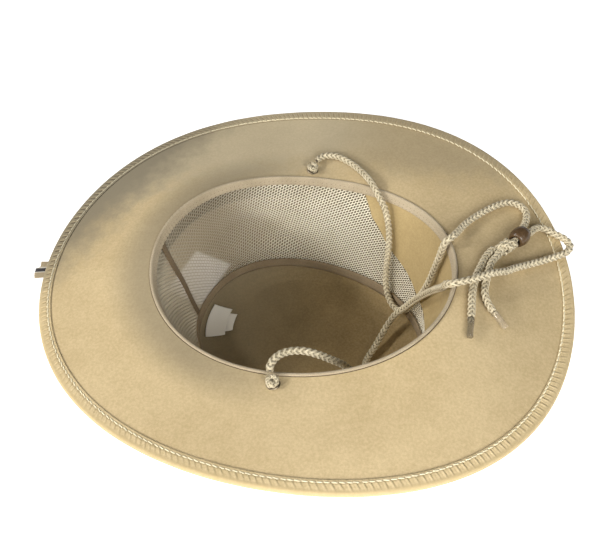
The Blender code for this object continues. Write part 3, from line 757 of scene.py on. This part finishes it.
def place_camera():
    """Camera on a ball round its target, by turn and height, rolled about its line."""
    distance, turn, height, roll = LOOK_FROM
    turn, height, roll = (math.radians(a) for a in (turn, height, roll))
    back = Vector((math.sin(turn) * math.cos(height), -math.cos(turn) * math.cos(height),
                   math.sin(height)))
    across = Vector((math.cos(turn), math.sin(turn), 0.0))
    upward = back.cross(across)
    right = across * math.cos(roll) + upward * math.sin(roll)
    up = upward * math.cos(roll) - across * math.sin(roll)
    data = bpy.data.cameras.new("camera")
    data.sensor_width = 36.0
    data.lens = LENS
    data.clip_start = 0.01
    data.clip_end = 50.0
    camera = add_object("camera", data)
    turned = Matrix((right, up, back)).transposed().to_4x4()
    camera.matrix_world = Matrix.Translation(Vector(LOOK_AT) + back * distance) @ turned
    bpy.context.scene.camera = camera


def light_stage():
    """Pale floor and soft square lights: two low ones from the left and the near left, a
    broad close one from the near side, a weak high one, a weak broad one from the near
    right, and a dim sky."""
    for name, place, power, size, colour in LIGHTS:
        data = bpy.data.lights.new(name, "AREA")
        data.energy, data.color, data.size = power, colour, size
        lamp = add_object(name, data)
        lamp.location = Vector(place)
        lamp.rotation_euler = (Vector(place) - Vector(LIT)).to_track_quat("Z", "Y").to_euler()
    world = bpy.data.worlds.new("studio")
    world.use_nodes = True
    sky = world.node_tree.nodes["Background"]
    sky.inputs["Color"].default_value = (0.90, 0.95, 1.0, 1.0)
    sky.inputs["Strength"].default_value = 0.06
    bpy.context.scene.world = world
    bpy.context.scene.view_settings.view_transform = "Standard"
    mesh = bpy.data.meshes.new("studio_floor")
    corners = [(x * FLOOR_HALF, y * FLOOR_HALF, -GAP)
               for x, y in ((-1, -1), (1, -1), (1, 1), (-1, 1))]
    mesh.from_pydata(corners, [], [(0, 1, 2, 3)])
    mesh.materials.append(pale_floor())
    add_object("studio_floor", mesh)


def smooth_line(route, step):
    """Curve through the route's points: each stretch is the cubic that meets its
    neighbours, walked in even steps."""
    p = np.array(route) * MM
    p = np.concatenate([2 * p[:1] - p[1:2], p, 2 * p[-1:] - p[-2:-1]])
    a, b, c, d = (p[k:len(p) - 3 + k, None] for k in range(4))
    t = np.linspace(0.0, 1.0, 16, endpoint=False)[:, None]
    fine = 0.5 * (2 * b + (c - a) * t + (2 * a - 5 * b + 4 * c - d) * t ** 2
                  + (3 * b - a - 3 * c + d) * t ** 3)
    return even_line(np.concatenate([fine.reshape(-1, 3), p[-2:-1]]), step)


def even_line(fine, step):
    """The same line with its points an even step apart."""
    length = walked(fine)
    stops = np.linspace(0.0, length[-1], max(2, round(length[-1] / step) + 1))
    return np.stack([np.interp(stops, length, fine[:, k]) for k in range(3)], -1)


def unit(v):
    """The directions, made one long."""
    return v / np.maximum(np.linalg.norm(v, axis=-1, keepdims=True), 1e-12)


def line_frame(path):
    """Two directions across the line that don't twist: each side is the one before it
    less its part along the line, and over is square to both."""
    along = unit(np.gradient(path, axis=0))
    side = np.empty_like(path)
    last = np.cross(along[0], (0.3, 0.2, 0.93))
    for i, here in enumerate(along):
        last = unit(last - here * (last @ here))
        side[i] = last
    return side, np.cross(along, side)


def plait(path, radius, pitch=PLAIT):
    """Eight yarns round a line.  Yarn k turns by a = +-turn + k/4 turn from the cord's
    upper side, and its distance from the line swings with sin 2a, so each way round lies
    on top in two of four quarters, which shows as a row of V shapes along the upper side.
    A plain core fills the middle."""
    side, over = line_frame(path)
    upper = np.unwrap(np.arctan2(over @ UPPER_SIDE, side @ UPPER_SIDE))
    spread = min(9, len(path) // 2)
    padded = np.pad(upper, spread, mode="edge")
    upper = np.convolve(padded, np.full(2 * spread + 1, 1.0 / (2 * spread + 1)), "valid")
    way = np.repeat([1.0, -1.0], 4)[:, None]
    turn = way * TAU * walked(path) / pitch + (np.arange(8) % 4)[:, None] * TAU / 4.0
    reach = radius * (0.62 + 0.15 * way * np.tanh(2.0 * np.sin(2.0 * turn)))
    angle = turn + upper
    spoke = np.cos(angle)[..., None] * side + np.sin(angle)[..., None] * over
    middle = path + reach[..., None] * spoke
    run = unit(np.gradient(middle, axis=1))
    across = unit(np.cross(run, spoke))
    yarns = rod(middle, across, np.cross(across, run), radius * 0.36, radius * 0.26, 8)
    core = rod(path, side, over, radius * 0.52, radius * 0.52, 8)
    return [(yarns, 0), (core, 1)]


def make_cord(node, route, cord):
    """A free cord along its route, laid where its solid is; returns it and its line."""
    path = smooth_line(route, 0.75 * MM)
    return piece(node + "_plait", plait(path, CORD_R), cord, node), path


def coil_line(centre, axis, radius, turns, rise, slant, start=0.0):
    """Line that winds round an axis: it turns, climbs evenly, and leans by slant."""
    axis = unit(np.array(axis, float))
    side = unit(np.cross(axis, (0.0, 0.0, 1.0)) + 1e-9)
    over = np.cross(axis, side)
    t = np.linspace(0.0, 1.0, int(60 * turns))
    a = start + TAU * turns * t
    path = (np.cos(a)[:, None] * side + np.sin(a)[:, None] * over) * radius
    climb = (t - 0.5) * rise + slant * np.cos(a)
    return np.array(centre) * MM + path + climb[:, None] * axis


def brim_place(degrees, along):
    """Point on the brim and its three directions: outwards, round the head, and up."""
    th = np.radians([degrees, degrees, degrees + 0.5])
    here, out, round_head = brim_point(th, np.array([along, along + MM, along]), 0.0)
    out = unit(out - here)
    up = unit(np.cross(out, round_head - here))
    return here, out, np.cross(up, out), up


def turned_ring(profile, centre, x, y, z, steps):
    """Closed ring: the profile of (radius, height) carried round the axis z."""
    turn = full_turn(steps)
    profile = looped(np.array(profile))
    r, h = columns(profile)[..., None]
    round_axis = np.cos(turn)[:, None] * x + np.sin(turn)[:, None] * y
    return with_cloth(centre + r * round_axis + h * z, turn * 6.0 * MM,
                      walked(profile)[:, None])


def hairs(root, direction, count=42, length=3.0 * MM, thick=0.11 * MM):
    """Frayed end: short hairs that spread from one point and bend with the square of
    the way along them."""
    rng = np.random.default_rng(5)
    lean = unit(direction + rng.normal(0.0, 0.45, (count, 3)))
    bend = rng.normal(0.0, 0.35, (count, 1, 3))
    t = np.linspace(0.0, 1.0, 5)[:, None]
    size = length * rng.uniform(0.5, 1.0, (count, 1, 1))
    path = root + size * (lean[:, None] * t + bend * t ** 2)
    run = unit(np.gradient(path, axis=1))
    across = unit(np.cross(run, (0.2, 0.3, 0.9)))
    return rod(path, across, np.cross(run, across), thick, thick, 5)


def make_chin_cord(cord, wood, metal, sleeves):
    """Both strands, eyelets and their knots, the bead, the slider knot, tails and tips.
    cord holds the finishes of yarn and core, sleeves one clear finish for each tip."""
    far, far_line = make_cord("chin_cord_far", FAR_ROUTE, cord)
    near, near_line = make_cord("chin_cord_near", NEAR_ROUTE, cord)
    stoppers = {side: make_eyelet(side, cord, metal) for side in EYELETS}
    bead = make_bead(wood)
    knot = make_slider_knot(cord)
    for name, route, tip, length in (("long", LONG_TAIL, LONG_TIP, 0.065),
                                     ("short", SHORT_TAIL, SHORT_TIP, 0.052)):
        tail, line = make_cord("cord_tail_" + name, route, cord)
        sleeve = make_tip("aglet_" + name, tip, cord, sleeves[name])


def make_bead(wood):
    """Barrel turned round its bore: its radius falls with the cosine of the turn to its
    ends, to the power 0.7, and two fine grooves are cut in it."""
    axis = unit(np.array(BEAD_AXIS))
    x = unit(np.cross(axis, (0.0, 0.0, 1.0)))
    a = np.linspace(-1.36, 1.36, 26)
    h = BEAD_HALF * np.sin(a) / 0.98
    groove = np.abs(np.abs(h) - 0.62 * BEAD_HALF) < 0.4 * MM
    r = BEAD_R * (0.50 + 0.50 * np.cos(a) ** 0.7) - 0.12 * MM * groove
    end = 0.96 * BEAD_HALF
    profile = [(BEAD_BORE_R, -end), *zip(r, h), (BEAD_BORE_R, end)]
    ring = turned_ring(profile, np.array(BEAD_CENTRE) * MM, x, np.cross(axis, x), axis, 56)
    return plain_piece("bead_turned", ring, wood, "bead")


def make_slider_knot(cord):
    """A coil of cord below the bead, wound round the line that passes through it."""
    axis = np.array(BEAD_CENTRE) - KNOT_BELOW
    wraps = coil_line(KNOT_CENTRE, axis, 2.9 * MM, 2.6, 10.6 * MM, 2.4 * MM)
    inner = smooth_line(KNOT_INSIDE, 0.8 * MM)
    return piece("slider_knot_wraps", plait(even_line(wraps, 0.7 * MM), 2.0 * MM)
                 + plait(inner, 2.2 * MM), cord, "slider_knot")


def make_eyelet(side, cord, metal):
    """Rolled metal eyelet, and the stopper: one wrap of cord, its plug, a frayed tip."""
    degrees, share = EYELETS[side]
    here, out, round_head, up = brim_place(degrees, share * BRIM_W)
    a = np.linspace(0.0, math.pi, 9)
    middle, half = 0.5 * (EYELET_R + EYELET_BORE_R), 0.5 * (EYELET_R - EYELET_BORE_R)
    over = np.stack([middle + half * np.cos(a), (0.15 + 0.85 * np.sin(a)) * MM], -1)
    under = over[::-1] * (1.0, -1.0) - (0.0, BRIM_T)
    profile = [*over, (EYELET_BORE_R, -0.5 * BRIM_T), *under]
    plain_piece("eyelet_" + side + "_rolled",
                turned_ring(profile, here, out, round_head, up, 40), metal,
                "eyelet_" + side)
    centre = (here + up * 3.0 * MM) / MM
    wrap = coil_line(centre, up, 2.5 * MM, 1.55, 2.4 * MM, 0.5 * MM, 1.0)
    plug = np.stack([here - up * (BRIM_T + 1.0 * MM), here + up * 4.2 * MM])
    lean = unit(np.array([-0.75, 0.65, 0.35]))
    fray = hairs(here + (up + lean) * 2.6 * MM, lean)
    return piece("knot_" + side + "_wrap",
                 plait(even_line(wrap, 0.6 * MM), 1.75 * MM, STOPPER_PLAIT)
                 + plait(even_line(plug, 0.7 * MM), 1.9 * MM, STOPPER_PLAIT) + [(fray, 0)],
                 cord, "knot_" + side)


def make_tip(node, tip, cord, sleeve):
    """Clear sleeve shrunk on a cord's end, which shows inside its mouth."""
    start, stop = np.array(tip) * MM
    path = even_line(np.stack([start, stop]), 0.5 * MM)
    side, over = line_frame(path)
    t = np.linspace(0.0, 1.0, len(path))
    squeeze = TIP_R * (1.0 - 0.16 * t ** 2 - 0.10 * np.exp(-((t - 0.5) / 0.3) ** 2))
    outer = rod(path, side, over, squeeze, squeeze, 18)
    stub = even_line(np.stack([start, start + (stop - start) * 0.16]), 0.5 * MM)
    return piece(node + "_sleeve", [(outer, 2)] + plait(stub, 1.7 * MM), (*cord, sleeve),
                 node)


def make_brim(finish):
    """Suede ring: its section runs over the top face, round the edge and back below."""
    th = full_turn()
    run = np.linspace(0.0, 1.0, 30)
    share, shift, up = columns(
        [(s, 0.0, 0.0) for s in run[1:]] + [(s, 0.0, -BRIM_T) for s in run[:0:-1]]
        + [(0.0, 0.3, -BRIM_T), (0.0, 0.0, 0.25 * MM - BRIM_T), (0.0, 0.0, -0.45 * MM),
           (0.0, 0.12, -0.14 * MM), (0.0, 0.45, 0.0)])
    edge = brim_width(th) - EDGE_INSET
    along = WALL_IN * (1.0 - share) + edge * share + shift * MM
    swell = ripple(th, share * 3.0, 3, 6) * 0.22 * MM * np.sin(math.pi * share)
    points = brim_point(th, along, up + swell)
    grid = with_cloth(points, th * RIM_A, along - 0.5 * up * (share < 0.01))
    plain_piece("brim_suede", looped(grid), finish, "brim")


def rib_turn(th, across):
    """Turn of the puckers, one a stitch: uneven round the head, slanted over the strip."""
    uneven = 0.9 * np.sin(7 * th + 1.0) + 0.8 * np.sin(17 * th + 2.0) + 0.7 * np.sin(31 * th)
    return RIBS * th + uneven + across * 1100.0 * (0.65 + 0.5 * np.sin(3 * th + 1.0))


def rib_height(th, across):
    """Puckers of the binding: narrow crests, each with a groove beside it, uneven."""
    x = rib_turn(th, across)
    crest = (0.5 + 0.5 * np.cos(x)) ** 5
    groove = (0.5 + 0.5 * np.cos(x - 1.2)) ** 5
    size = 0.72 + 0.28 * np.sin(43 * th + 0.7) * np.sin(59 * th + 2.0)
    return (crest - 0.75 * groove) * size


def thread_inset(th):
    """How far the binding's stitches run inside the brim's edge: the strip's width less
    1.35 mm, plus one wave round the head."""
    return BINDING_W - (1.35 - 0.55 * np.cos(th - 0.1) - 0.60 * np.sin(th)) * MM


def make_binding(finish, thread):
    """Suede strip folded round the brim's edge.  Its section runs in over the top face,
    round the nose as half an ellipse, out under the lower face and back inside."""
    th = full_turn(RIBS * 9)
    top = GAP + BINDING_T
    bend = EDGE_INSET + GAP
    half = 0.5 * BRIM_T + top
    flat = np.linspace(1.0, 0.0, 12)
    nose = np.linspace(0.5 * math.pi, -0.5 * math.pi, 9)[1:-1]
    lip = BINDING_W - 0.2 * MM
    rows = [(BINDING_W - 0.1 * MM, 0.12 * MM, 0.0, 0.0), (BINDING_W, 0.28 * MM, 0.0, 0.0)]
    rows += [(bend + (lip - bend) * s, top, 0.0, 1.0) for s in flat]
    rows += [(bend * (1.0 - math.cos(a)), half * math.sin(a) - 0.5 * BRIM_T, math.cos(a),
              math.sin(a)) for a in nose]
    rows += [(bend + (BINDING_W - bend) * s, -BRIM_T - top, 0.0, -1.0) for s in flat[::-1]]
    rows += [(BINDING_W, -BRIM_T - 0.1 * MM, 0.0, 0.0), (bend, -BRIM_T - 0.1 * MM, 0.0, 0.0),
             (bend, 0.1 * MM, 0.0, 0.0)]
    inset, up, push_out, push_up = columns(rows)
    seam = thread_inset(th)
    past = np.clip((seam - inset) / (seam - 1.4 * MM), 0.0, 1.0)
    spread = np.clip(np.sin(math.pi * past ** 0.6) * 1.2, 0.0, 1.0)
    pressed = np.clip((inset - seam + 1.1 * MM) / (1.0 * MM), 0.0, 1.0)
    lift = (rib_height(th, inset) * (0.42 * spread + 0.10 * pressed) * MM
            - SEAM_SINK * pressed ** 1.5 + 0.08 * MM * ripple(th, inset * 400.0, 8, 40))
    width = brim_width(th)
    points = brim_point(th, width - inset + lift * push_out, up + lift * push_up)
    across = walked(np.hstack([inset, up]))[:, None]
    grid = with_cloth(points, rib_turn(th, inset) / TAU * RIB_STEP, across)
    plain_piece("edge_binding_folded", looped(grid), finish, "edge_binding")

    rng = np.random.default_rng(12)
    here = (np.arange(RIBS)[:, None] + rng.uniform(-0.08, 0.08, (RIBS, 1))) * TAU / RIBS
    run = np.linspace(-1.0, 1.0, 7)
    long = (rng.uniform(0.37, 0.42, (RIBS, 1)) + 0.08 * np.abs(np.cos(here))) * TAU / RIBS
    slant = rng.uniform(0.15, 0.42, (RIBS, 1)) * MM
    parts = []
    for face, sign in ((top - SEAM_SINK, 1.0), (-BRIM_T - top + SEAM_SINK, -1.0)):
        along = brim_width(here) - thread_inset(here) + slant * run
        line = brim_point(here + run * long, along,
                          face + sign * (0.36 * (1.0 - run ** 4) - 0.16) * MM)
        forward = unit(np.gradient(line, axis=1))
        side = unit(np.cross(forward, (0.0, 0.0, 1.0)))
        parts.append((rod(line, side, np.cross(side, forward), 0.44 * MM, 0.34 * MM, 6), 0))
    piece("edge_binding_thread", parts, [thread])


def make_sweatband(finish):
    """Tape inside the opening: its section runs up its inner face, rolls over the rim as
    half an ellipse on to the brim, and goes back down behind."""
    th = full_turn(900)
    front, back = TAPE_BACK - TAPE_T, TAPE_BACK
    rows = [(front + 0.3 * MM, SWEATBAND_H)]
    rows += [(front, s * SWEATBAND_H) for s in (0.96, 0.84, 0.7, 0.56, 0.42, 0.28, 0.16, 0.06)]
    rows += [(-0.42 * MM + 1.12 * MM * math.cos(a), -0.30 * MM - 0.85 * MM * math.sin(a))
             for a in np.linspace(math.pi, -0.15 * math.pi, 11)]
    rows += [(0.1 * MM, 0.0), (back, 0.5 * MM), (back, SWEATBAND_H)]
    out, drop = columns(rows)
    back_left = np.exp(-((np.degrees(th) - 158.0) / 16.0) ** 2)
    pucker = (0.10 + 0.5 * back_left) * np.sin(th * 150.0 + 2.0 * np.sin(9 * th)) * MM
    wave = 0.16 * MM * ripple(th, drop * 60.0, 11, 24)
    free = np.clip(drop / SWEATBAND_H, 0.0, 1.0)
    push = np.abs(wave * free) + 0.5 * (pucker + 0.6 * MM * back_left) * free
    points = wall_point(th, drop + 0.35 * back_left * pucker, out - push)
    grid = with_cloth(points, th * 92.0 * MM, walked(np.hstack([out, drop]))[:, None])
    plain_piece("sweatband_woven", looped(grid), finish, "sweatband_tape")


def panel_half(share):
    """Half width of the suede panel in degrees at a share of the depth."""
    levels, halves = zip(*PANEL_EDGE)
    return np.interp(share, levels, halves)


def make_front_panel(finish):
    """Suede V in the crown's front, from the brim's lower face to the seam: a sheet
    between two edges whose angle depends on the depth."""
    share = np.linspace(0.0, 1.0, 90)[:, None]
    side = np.linspace(-1.0, 1.0, 150)
    th = np.radians(PANEL_MIDDLE + side * (panel_half(share) + 0.3))
    soft = ripple(th * 2.0, share * 5.0, 21, 6) * 0.25 * MM
    skins = []
    for out in (WALL_IN + WALL_T, WALL_IN):
        top = under_brim(th, out)
        drop = top + (wall_depth(th) - 0.5 * GAP - top) * share
        skins.append(with_cloth(wall_point(th, drop, out + soft), th * RIM_B, share * RIM_Z))
    plain_piece("front_panel_suede", slab(*skins), finish, "front_panel")


def net_wall(node, way, finish):
    """Net side of the crown.  Holes stand in columns, each half a hole lower than the
    one before it.  Round each, six points on the thread's crest join six at the edge of
    the hole, which is drawn out on a slant; the crests stand off the middle surface on
    both faces, so each thread is lens shaped.  Columns lean with the cloth, and cells
    past a hem or the seam are left out.  No face is made twice: two cells that meet have
    no wall between them inside the thread, and a thread that ends flat at the border has
    one face for both of its sides."""
    i, j = (x.ravel() for x in np.meshgrid(np.arange(-12, int(186.0 / NET_COLUMN)),
                                           np.arange(int(92.0 * MM / NET_ROW))))
    centre = np.stack([i, j + 0.5 * (i % 2)], -1)[:, None]
    corner = np.array([(2 / 3, 0.0), (1 / 3, 0.5), (-1 / 3, 0.5), (-2 / 3, 0.0),
                       (-1 / 3, -0.5), (1 / 3, -0.5), (2 / 3, 0.0)])
    drawn_out = (NET_ALONG - NET_ACROSS) * np.outer((0.58, -0.81), (0.58, -0.81))
    crest = centre + corner
    hole = centre + corner @ (NET_ACROSS * np.eye(2) + drawn_out)

    def place(cell):
        """Angle in degrees and drop of a place counted in columns and rows."""
        drop = 3.6 * MM + cell[..., 1] * NET_ROW
        return BACK_SEAM - way * cell[..., 0] * NET_COLUMN + NET_LEAN * drop / MM, drop

    th, drop = place(crest)
    share = drop / wall_depth(np.radians(th))
    from_middle = np.abs((th - PANEL_MIDDLE + 180.0) % 360.0 - 180.0)
    past_back = way * (th - BACK_SEAM)
    keep = (from_middle > panel_half(share) - 1.6) & (share < 0.99) & (past_back < 0.3)
    keep = keep.all(axis=1)
    crest, hole = crest[keep], hole[keep]
    key = np.round(crest[:, :-1].reshape(-1, 2) * 6.0).astype(int)
    _, index, count = np.unique(key, axis=0, return_inverse=True, return_counts=True)
    border = (count[index.reshape(-1)] < 3).reshape(-1, 6)
    border = np.concatenate([border, border[:, :1]], 1)
    stand = np.where(border, 0.0, NET_CREST)
    rings = [place(cell) for cell in (hole, crest, crest, hole)]
    th, drop = (np.stack(x, axis=1) for x in zip(*rings))
    out = WALL_IN + 0.5 * WALL_T + np.stack([0.0 * stand, stand, -stand, 0.0 * stand], 1)
    grid = with_cloth(wall_point(np.radians(th), drop, out), th * 1.6 * MM, drop)
    flat = border[:, :-1] & border[:, 1:]
    shown = np.stack([np.ones_like(flat), np.zeros_like(flat), ~flat], 1)
    piece(node + "_knit", [(grid, 0, shown)], [finish], node)


def make_tapes(woven, dark):
    """Tape standing along the seam of the top, and the strip over the back seam."""
    th = full_turn()
    low = wall_depth(th) - RING_TAPE_LIFT
    rise = np.array([0.0, 0.2, 0.45, 0.7, 0.9, 1.0])[:, None]
    lean = 0.55 * MM * rise ** 2 + 0.20 * MM * rise * ripple(th, 0.0, 31, 22)
    high = (RING_TAPE_H + 0.30 * MM * ripple(th, 0.0, 33, 18)) * rise
    skins = [with_cloth(wall_point(th, low - high, out - np.abs(lean)), th * 78.0 * MM, high)
             for out in (TAPE_BACK, TAPE_BACK - 0.8 * TAPE_T)]
    plain_piece("crown_top_tape_woven", slab(*skins, closed=True), woven, "crown_top_tape")

    side = np.linspace(-1.0, 1.0, 13)
    share = np.linspace(0.0, 1.0, 80)[:, None]
    th = np.radians(BACK_SEAM + 0.35 * np.sin(share * 9.0) + side * SEAM_TAPE_HALF)
    first = SWEATBAND_H - 2.0 * MM
    last = wall_depth(np.radians(BACK_SEAM)) - RING_TAPE_LIFT - 0.6 * RING_TAPE_H
    drop = first + (last - first) * share
    crown = 0.35 * MM * (1.0 - side ** 2) + 0.12 * MM * np.sin(share * 130.0) * np.abs(side)
    skins = [with_cloth(wall_point(th, drop, out - crown), th * RIM_B, drop)
             for out in (TAPE_BACK + 0.3 * MM, TAPE_BACK - 0.4 * MM)]
    plain_piece("back_seam_tape_woven", slab(*skins), dark, "back_seam_tape")


def make_crown_top(finish):
    """Shallow suede dish: one closed surface from the middle of its outer skin out to
    the seam and back over the inner skin, which is softly creased."""
    th = full_turn(480)
    run = np.r_[np.linspace(-1.0, 0.0, 14), np.linspace(0.0, 1.0, 26)[1:]]
    share = np.r_[run, run[::-1]][:, None]
    face = np.r_[0.0 * run, 0.0 * run + 1.0][:, None]
    soft = np.clip(share, 0.0, 1.0) * np.clip(1.0 - share, 0.0, 1.0) * 4.0
    crease = 0.5 * MM * ripple(th, share * 2.0, 41, 9) * soft * face
    points = dish_point(th, share, face, np.maximum(crease, -0.4 * MM))
    across = np.r_[run, 2.0 - run[::-1]][:, None] * RING_B
    plain_piece("crown_top_suede", with_cloth(points, th * RING_B, across), finish,
                "crown_top")


def make_labels(finish):
    """Two woven tags sewn at their upper edge to the slope of the top, left bare."""
    for name, (first, last, high, low, place) in LABELS.items():
        th = np.radians(np.linspace(first, last, 40))
        share = np.linspace(high, low, 26)[:, None]
        run = np.linspace(0.0, 1.0, 26)[:, None]
        up = LABEL_LIFT + place * (LABEL_T + GAP)
        curl = 0.9 * MM * run ** 2 * (0.4 + 0.6 * np.sin(4.0 * th + 1.0) ** 2)
        skins = [dish_point(th, share, 1.0, up + lift + curl)
                 for lift in (0.42 * LABEL_T, 0.0)]
        width = np.linalg.norm(skins[0][0, -1] - skins[0][0, 0])
        length = np.linalg.norm(skins[0][-1, 20] - skins[0][0, 20])
        u = (th - th.mean()) / (th[-1] - th[0]) * width
        grid = slab(*[with_cloth(skin, u, (run - 0.5) * length) for skin in skins])
        made = plain_piece(name + "_woven", grid, finish, name)


def make_hat_band(finish):
    """Striped ribbon round the outside of the crown, and its free end, which passes out
    under the brim: a sheet between the crown and its cut, creased along the middle."""
    th = full_turn()
    near = WALL_IN + WALL_T + 0.5 * GAP
    share = np.linspace(0.0, 1.0, 12)[:, None]
    bulge = 0.35 * MM * np.sin(math.pi * share) + 0.12 * MM * ripple(th, share, 51, 12)
    skins = []
    for out in (near + 0.8 * BAND_T, near):
        drop = under_brim(th, out) + 0.3 * MM + BAND_H * share
        points = wall_point(th, drop, out + np.abs(bulge) * (out > near))
        # the inner skin's second length is moved past 20 mm, where the ribbon's finish paints
        # it dark as shade
        back = 40.0 * MM * (out == near)
        skins.append(with_cloth(points, th * 92.0 * MM, (share - 0.5) * 2.0 * TAIL_HALF + back))
    plain_piece("hat_band_ribbon", slab(*skins, closed=True), finish, "hat_band")

    side = np.linspace(-1.0, 1.0, 19)
    y = TAIL_Y - side * TAIL_HALF
    th = math.pi - y / RIM_B
    far = near + BAND_T
    start = wall_point(th, under_brim(th, far) + GAP, far)
    end = brim_point(th, brim_width(th), -(BRIM_T + BINDING_T + 2.0 * GAP))
    start[:, 1] = end[:, 1] = y
    cut = np.interp(side, (-1.0, -0.35, -0.25, 0.1, 0.35, 1.0),
                    (0.62, 0.62, 0.92, 0.97, 1.0, 1.05))
    end = end + (end - start) * (cut * TAIL_OVER / BRIM_W)[:, None]
    run = np.linspace(0.0, 1.0, 70)[:, None]
    crease = -0.7 * MM * np.exp(-(side / 0.22) ** 2)
    wave = 0.5 * MM * np.sin(run * 16.0) * run * (1.0 - run)
    past = np.clip((run - 0.85) / 0.15, 0.0, 1.0) ** 2
    skins = []
    for lift in (-0.1 * MM, -0.55 * MM):
        skin = start + (end - start) * run[..., None]
        skin[..., 2] += lift + crease + wave - np.abs(wave) - past * 0.8 * MM * side
        skins.append(with_cloth(skin, run * 88.0 * MM, side * TAIL_HALF))
    made = plain_piece("band_tail_ribbon", slab(*skins), finish, "band_tail")
    length = float(np.linalg.norm(end - start, axis=1).mean())


def main():
    """Camera and cords first, then every cloth piece."""
    place_camera()
    light_stage()
    # the core is painted dark: painted shade in the gaps between the yarns
    cord = (plaited_yarn("cord_yarn", (0.82, 0.74, 0.55), (0.22, 0.17, 0.09)),
            plaited_yarn("cord_core", (0.12, 0.09, 0.05), (0.06, 0.045, 0.026)))
    # the long tip's sleeve is painted dark and less clear, as painted shade
    shaded_tip = clear_sleeve("shaded_sleeve", (0.20, 0.17, 0.12), (0.12, 0.10, 0.07), 0.5)
    clear = clear_sleeve("clear_sleeve", (0.60, 0.52, 0.40), (0.38, 0.32, 0.23), 0.3)
    make_chin_cord(cord, turned_wood(), old_metal(), {"long": shaded_tip, "short": clear})
    thread = plaited_yarn("binding_thread", (0.93, 0.87, 0.66), (0.74, 0.65, 0.43))
    make_brim(suede("brim_suede", (0.685, 0.548, 0.330), (0.475, 0.365, 0.198),
                    (0.085, 0.058, 0.034)))
    make_binding(suede("binding_suede", (0.74, 0.600, 0.370), (0.50, 0.390, 0.210),
                       grooves=(0.34, 0.245, 0.125)), thread)
    make_sweatband(tape("sweatband_tape", (0.60, 0.51, 0.372), (0.35, 0.285, 0.19),
                        (0.20, 0.15, 0.11), (1.2, 3.6)))
    make_front_panel(suede("panel_suede", (0.50, 0.385, 0.20), (0.37, 0.275, 0.13)))
    net = net_thread()
    net_wall("crown_net_far", 1.0, net)
    net_wall("crown_net_near", -1.0, net)
    make_tapes(tape("ring_tape", (0.38, 0.295, 0.19), (0.21, 0.155, 0.095),
                    (0.15, 0.11, 0.07), (3.6,)),
               # the seam strip is painted darker than the ring tape, as shade along the back
               # seam
               tape("seam_tape", (0.23, 0.165, 0.095), (0.12, 0.085, 0.05),
                    (0.05, 0.035, 0.02), (14.0,)))
    make_crown_top(suede("top_suede", (0.42, 0.31, 0.16), (0.22, 0.160, 0.075)))
    make_labels(woven_label())
    make_hat_band(striped_ribbon())


main()
bpy.context.view_layer.update()
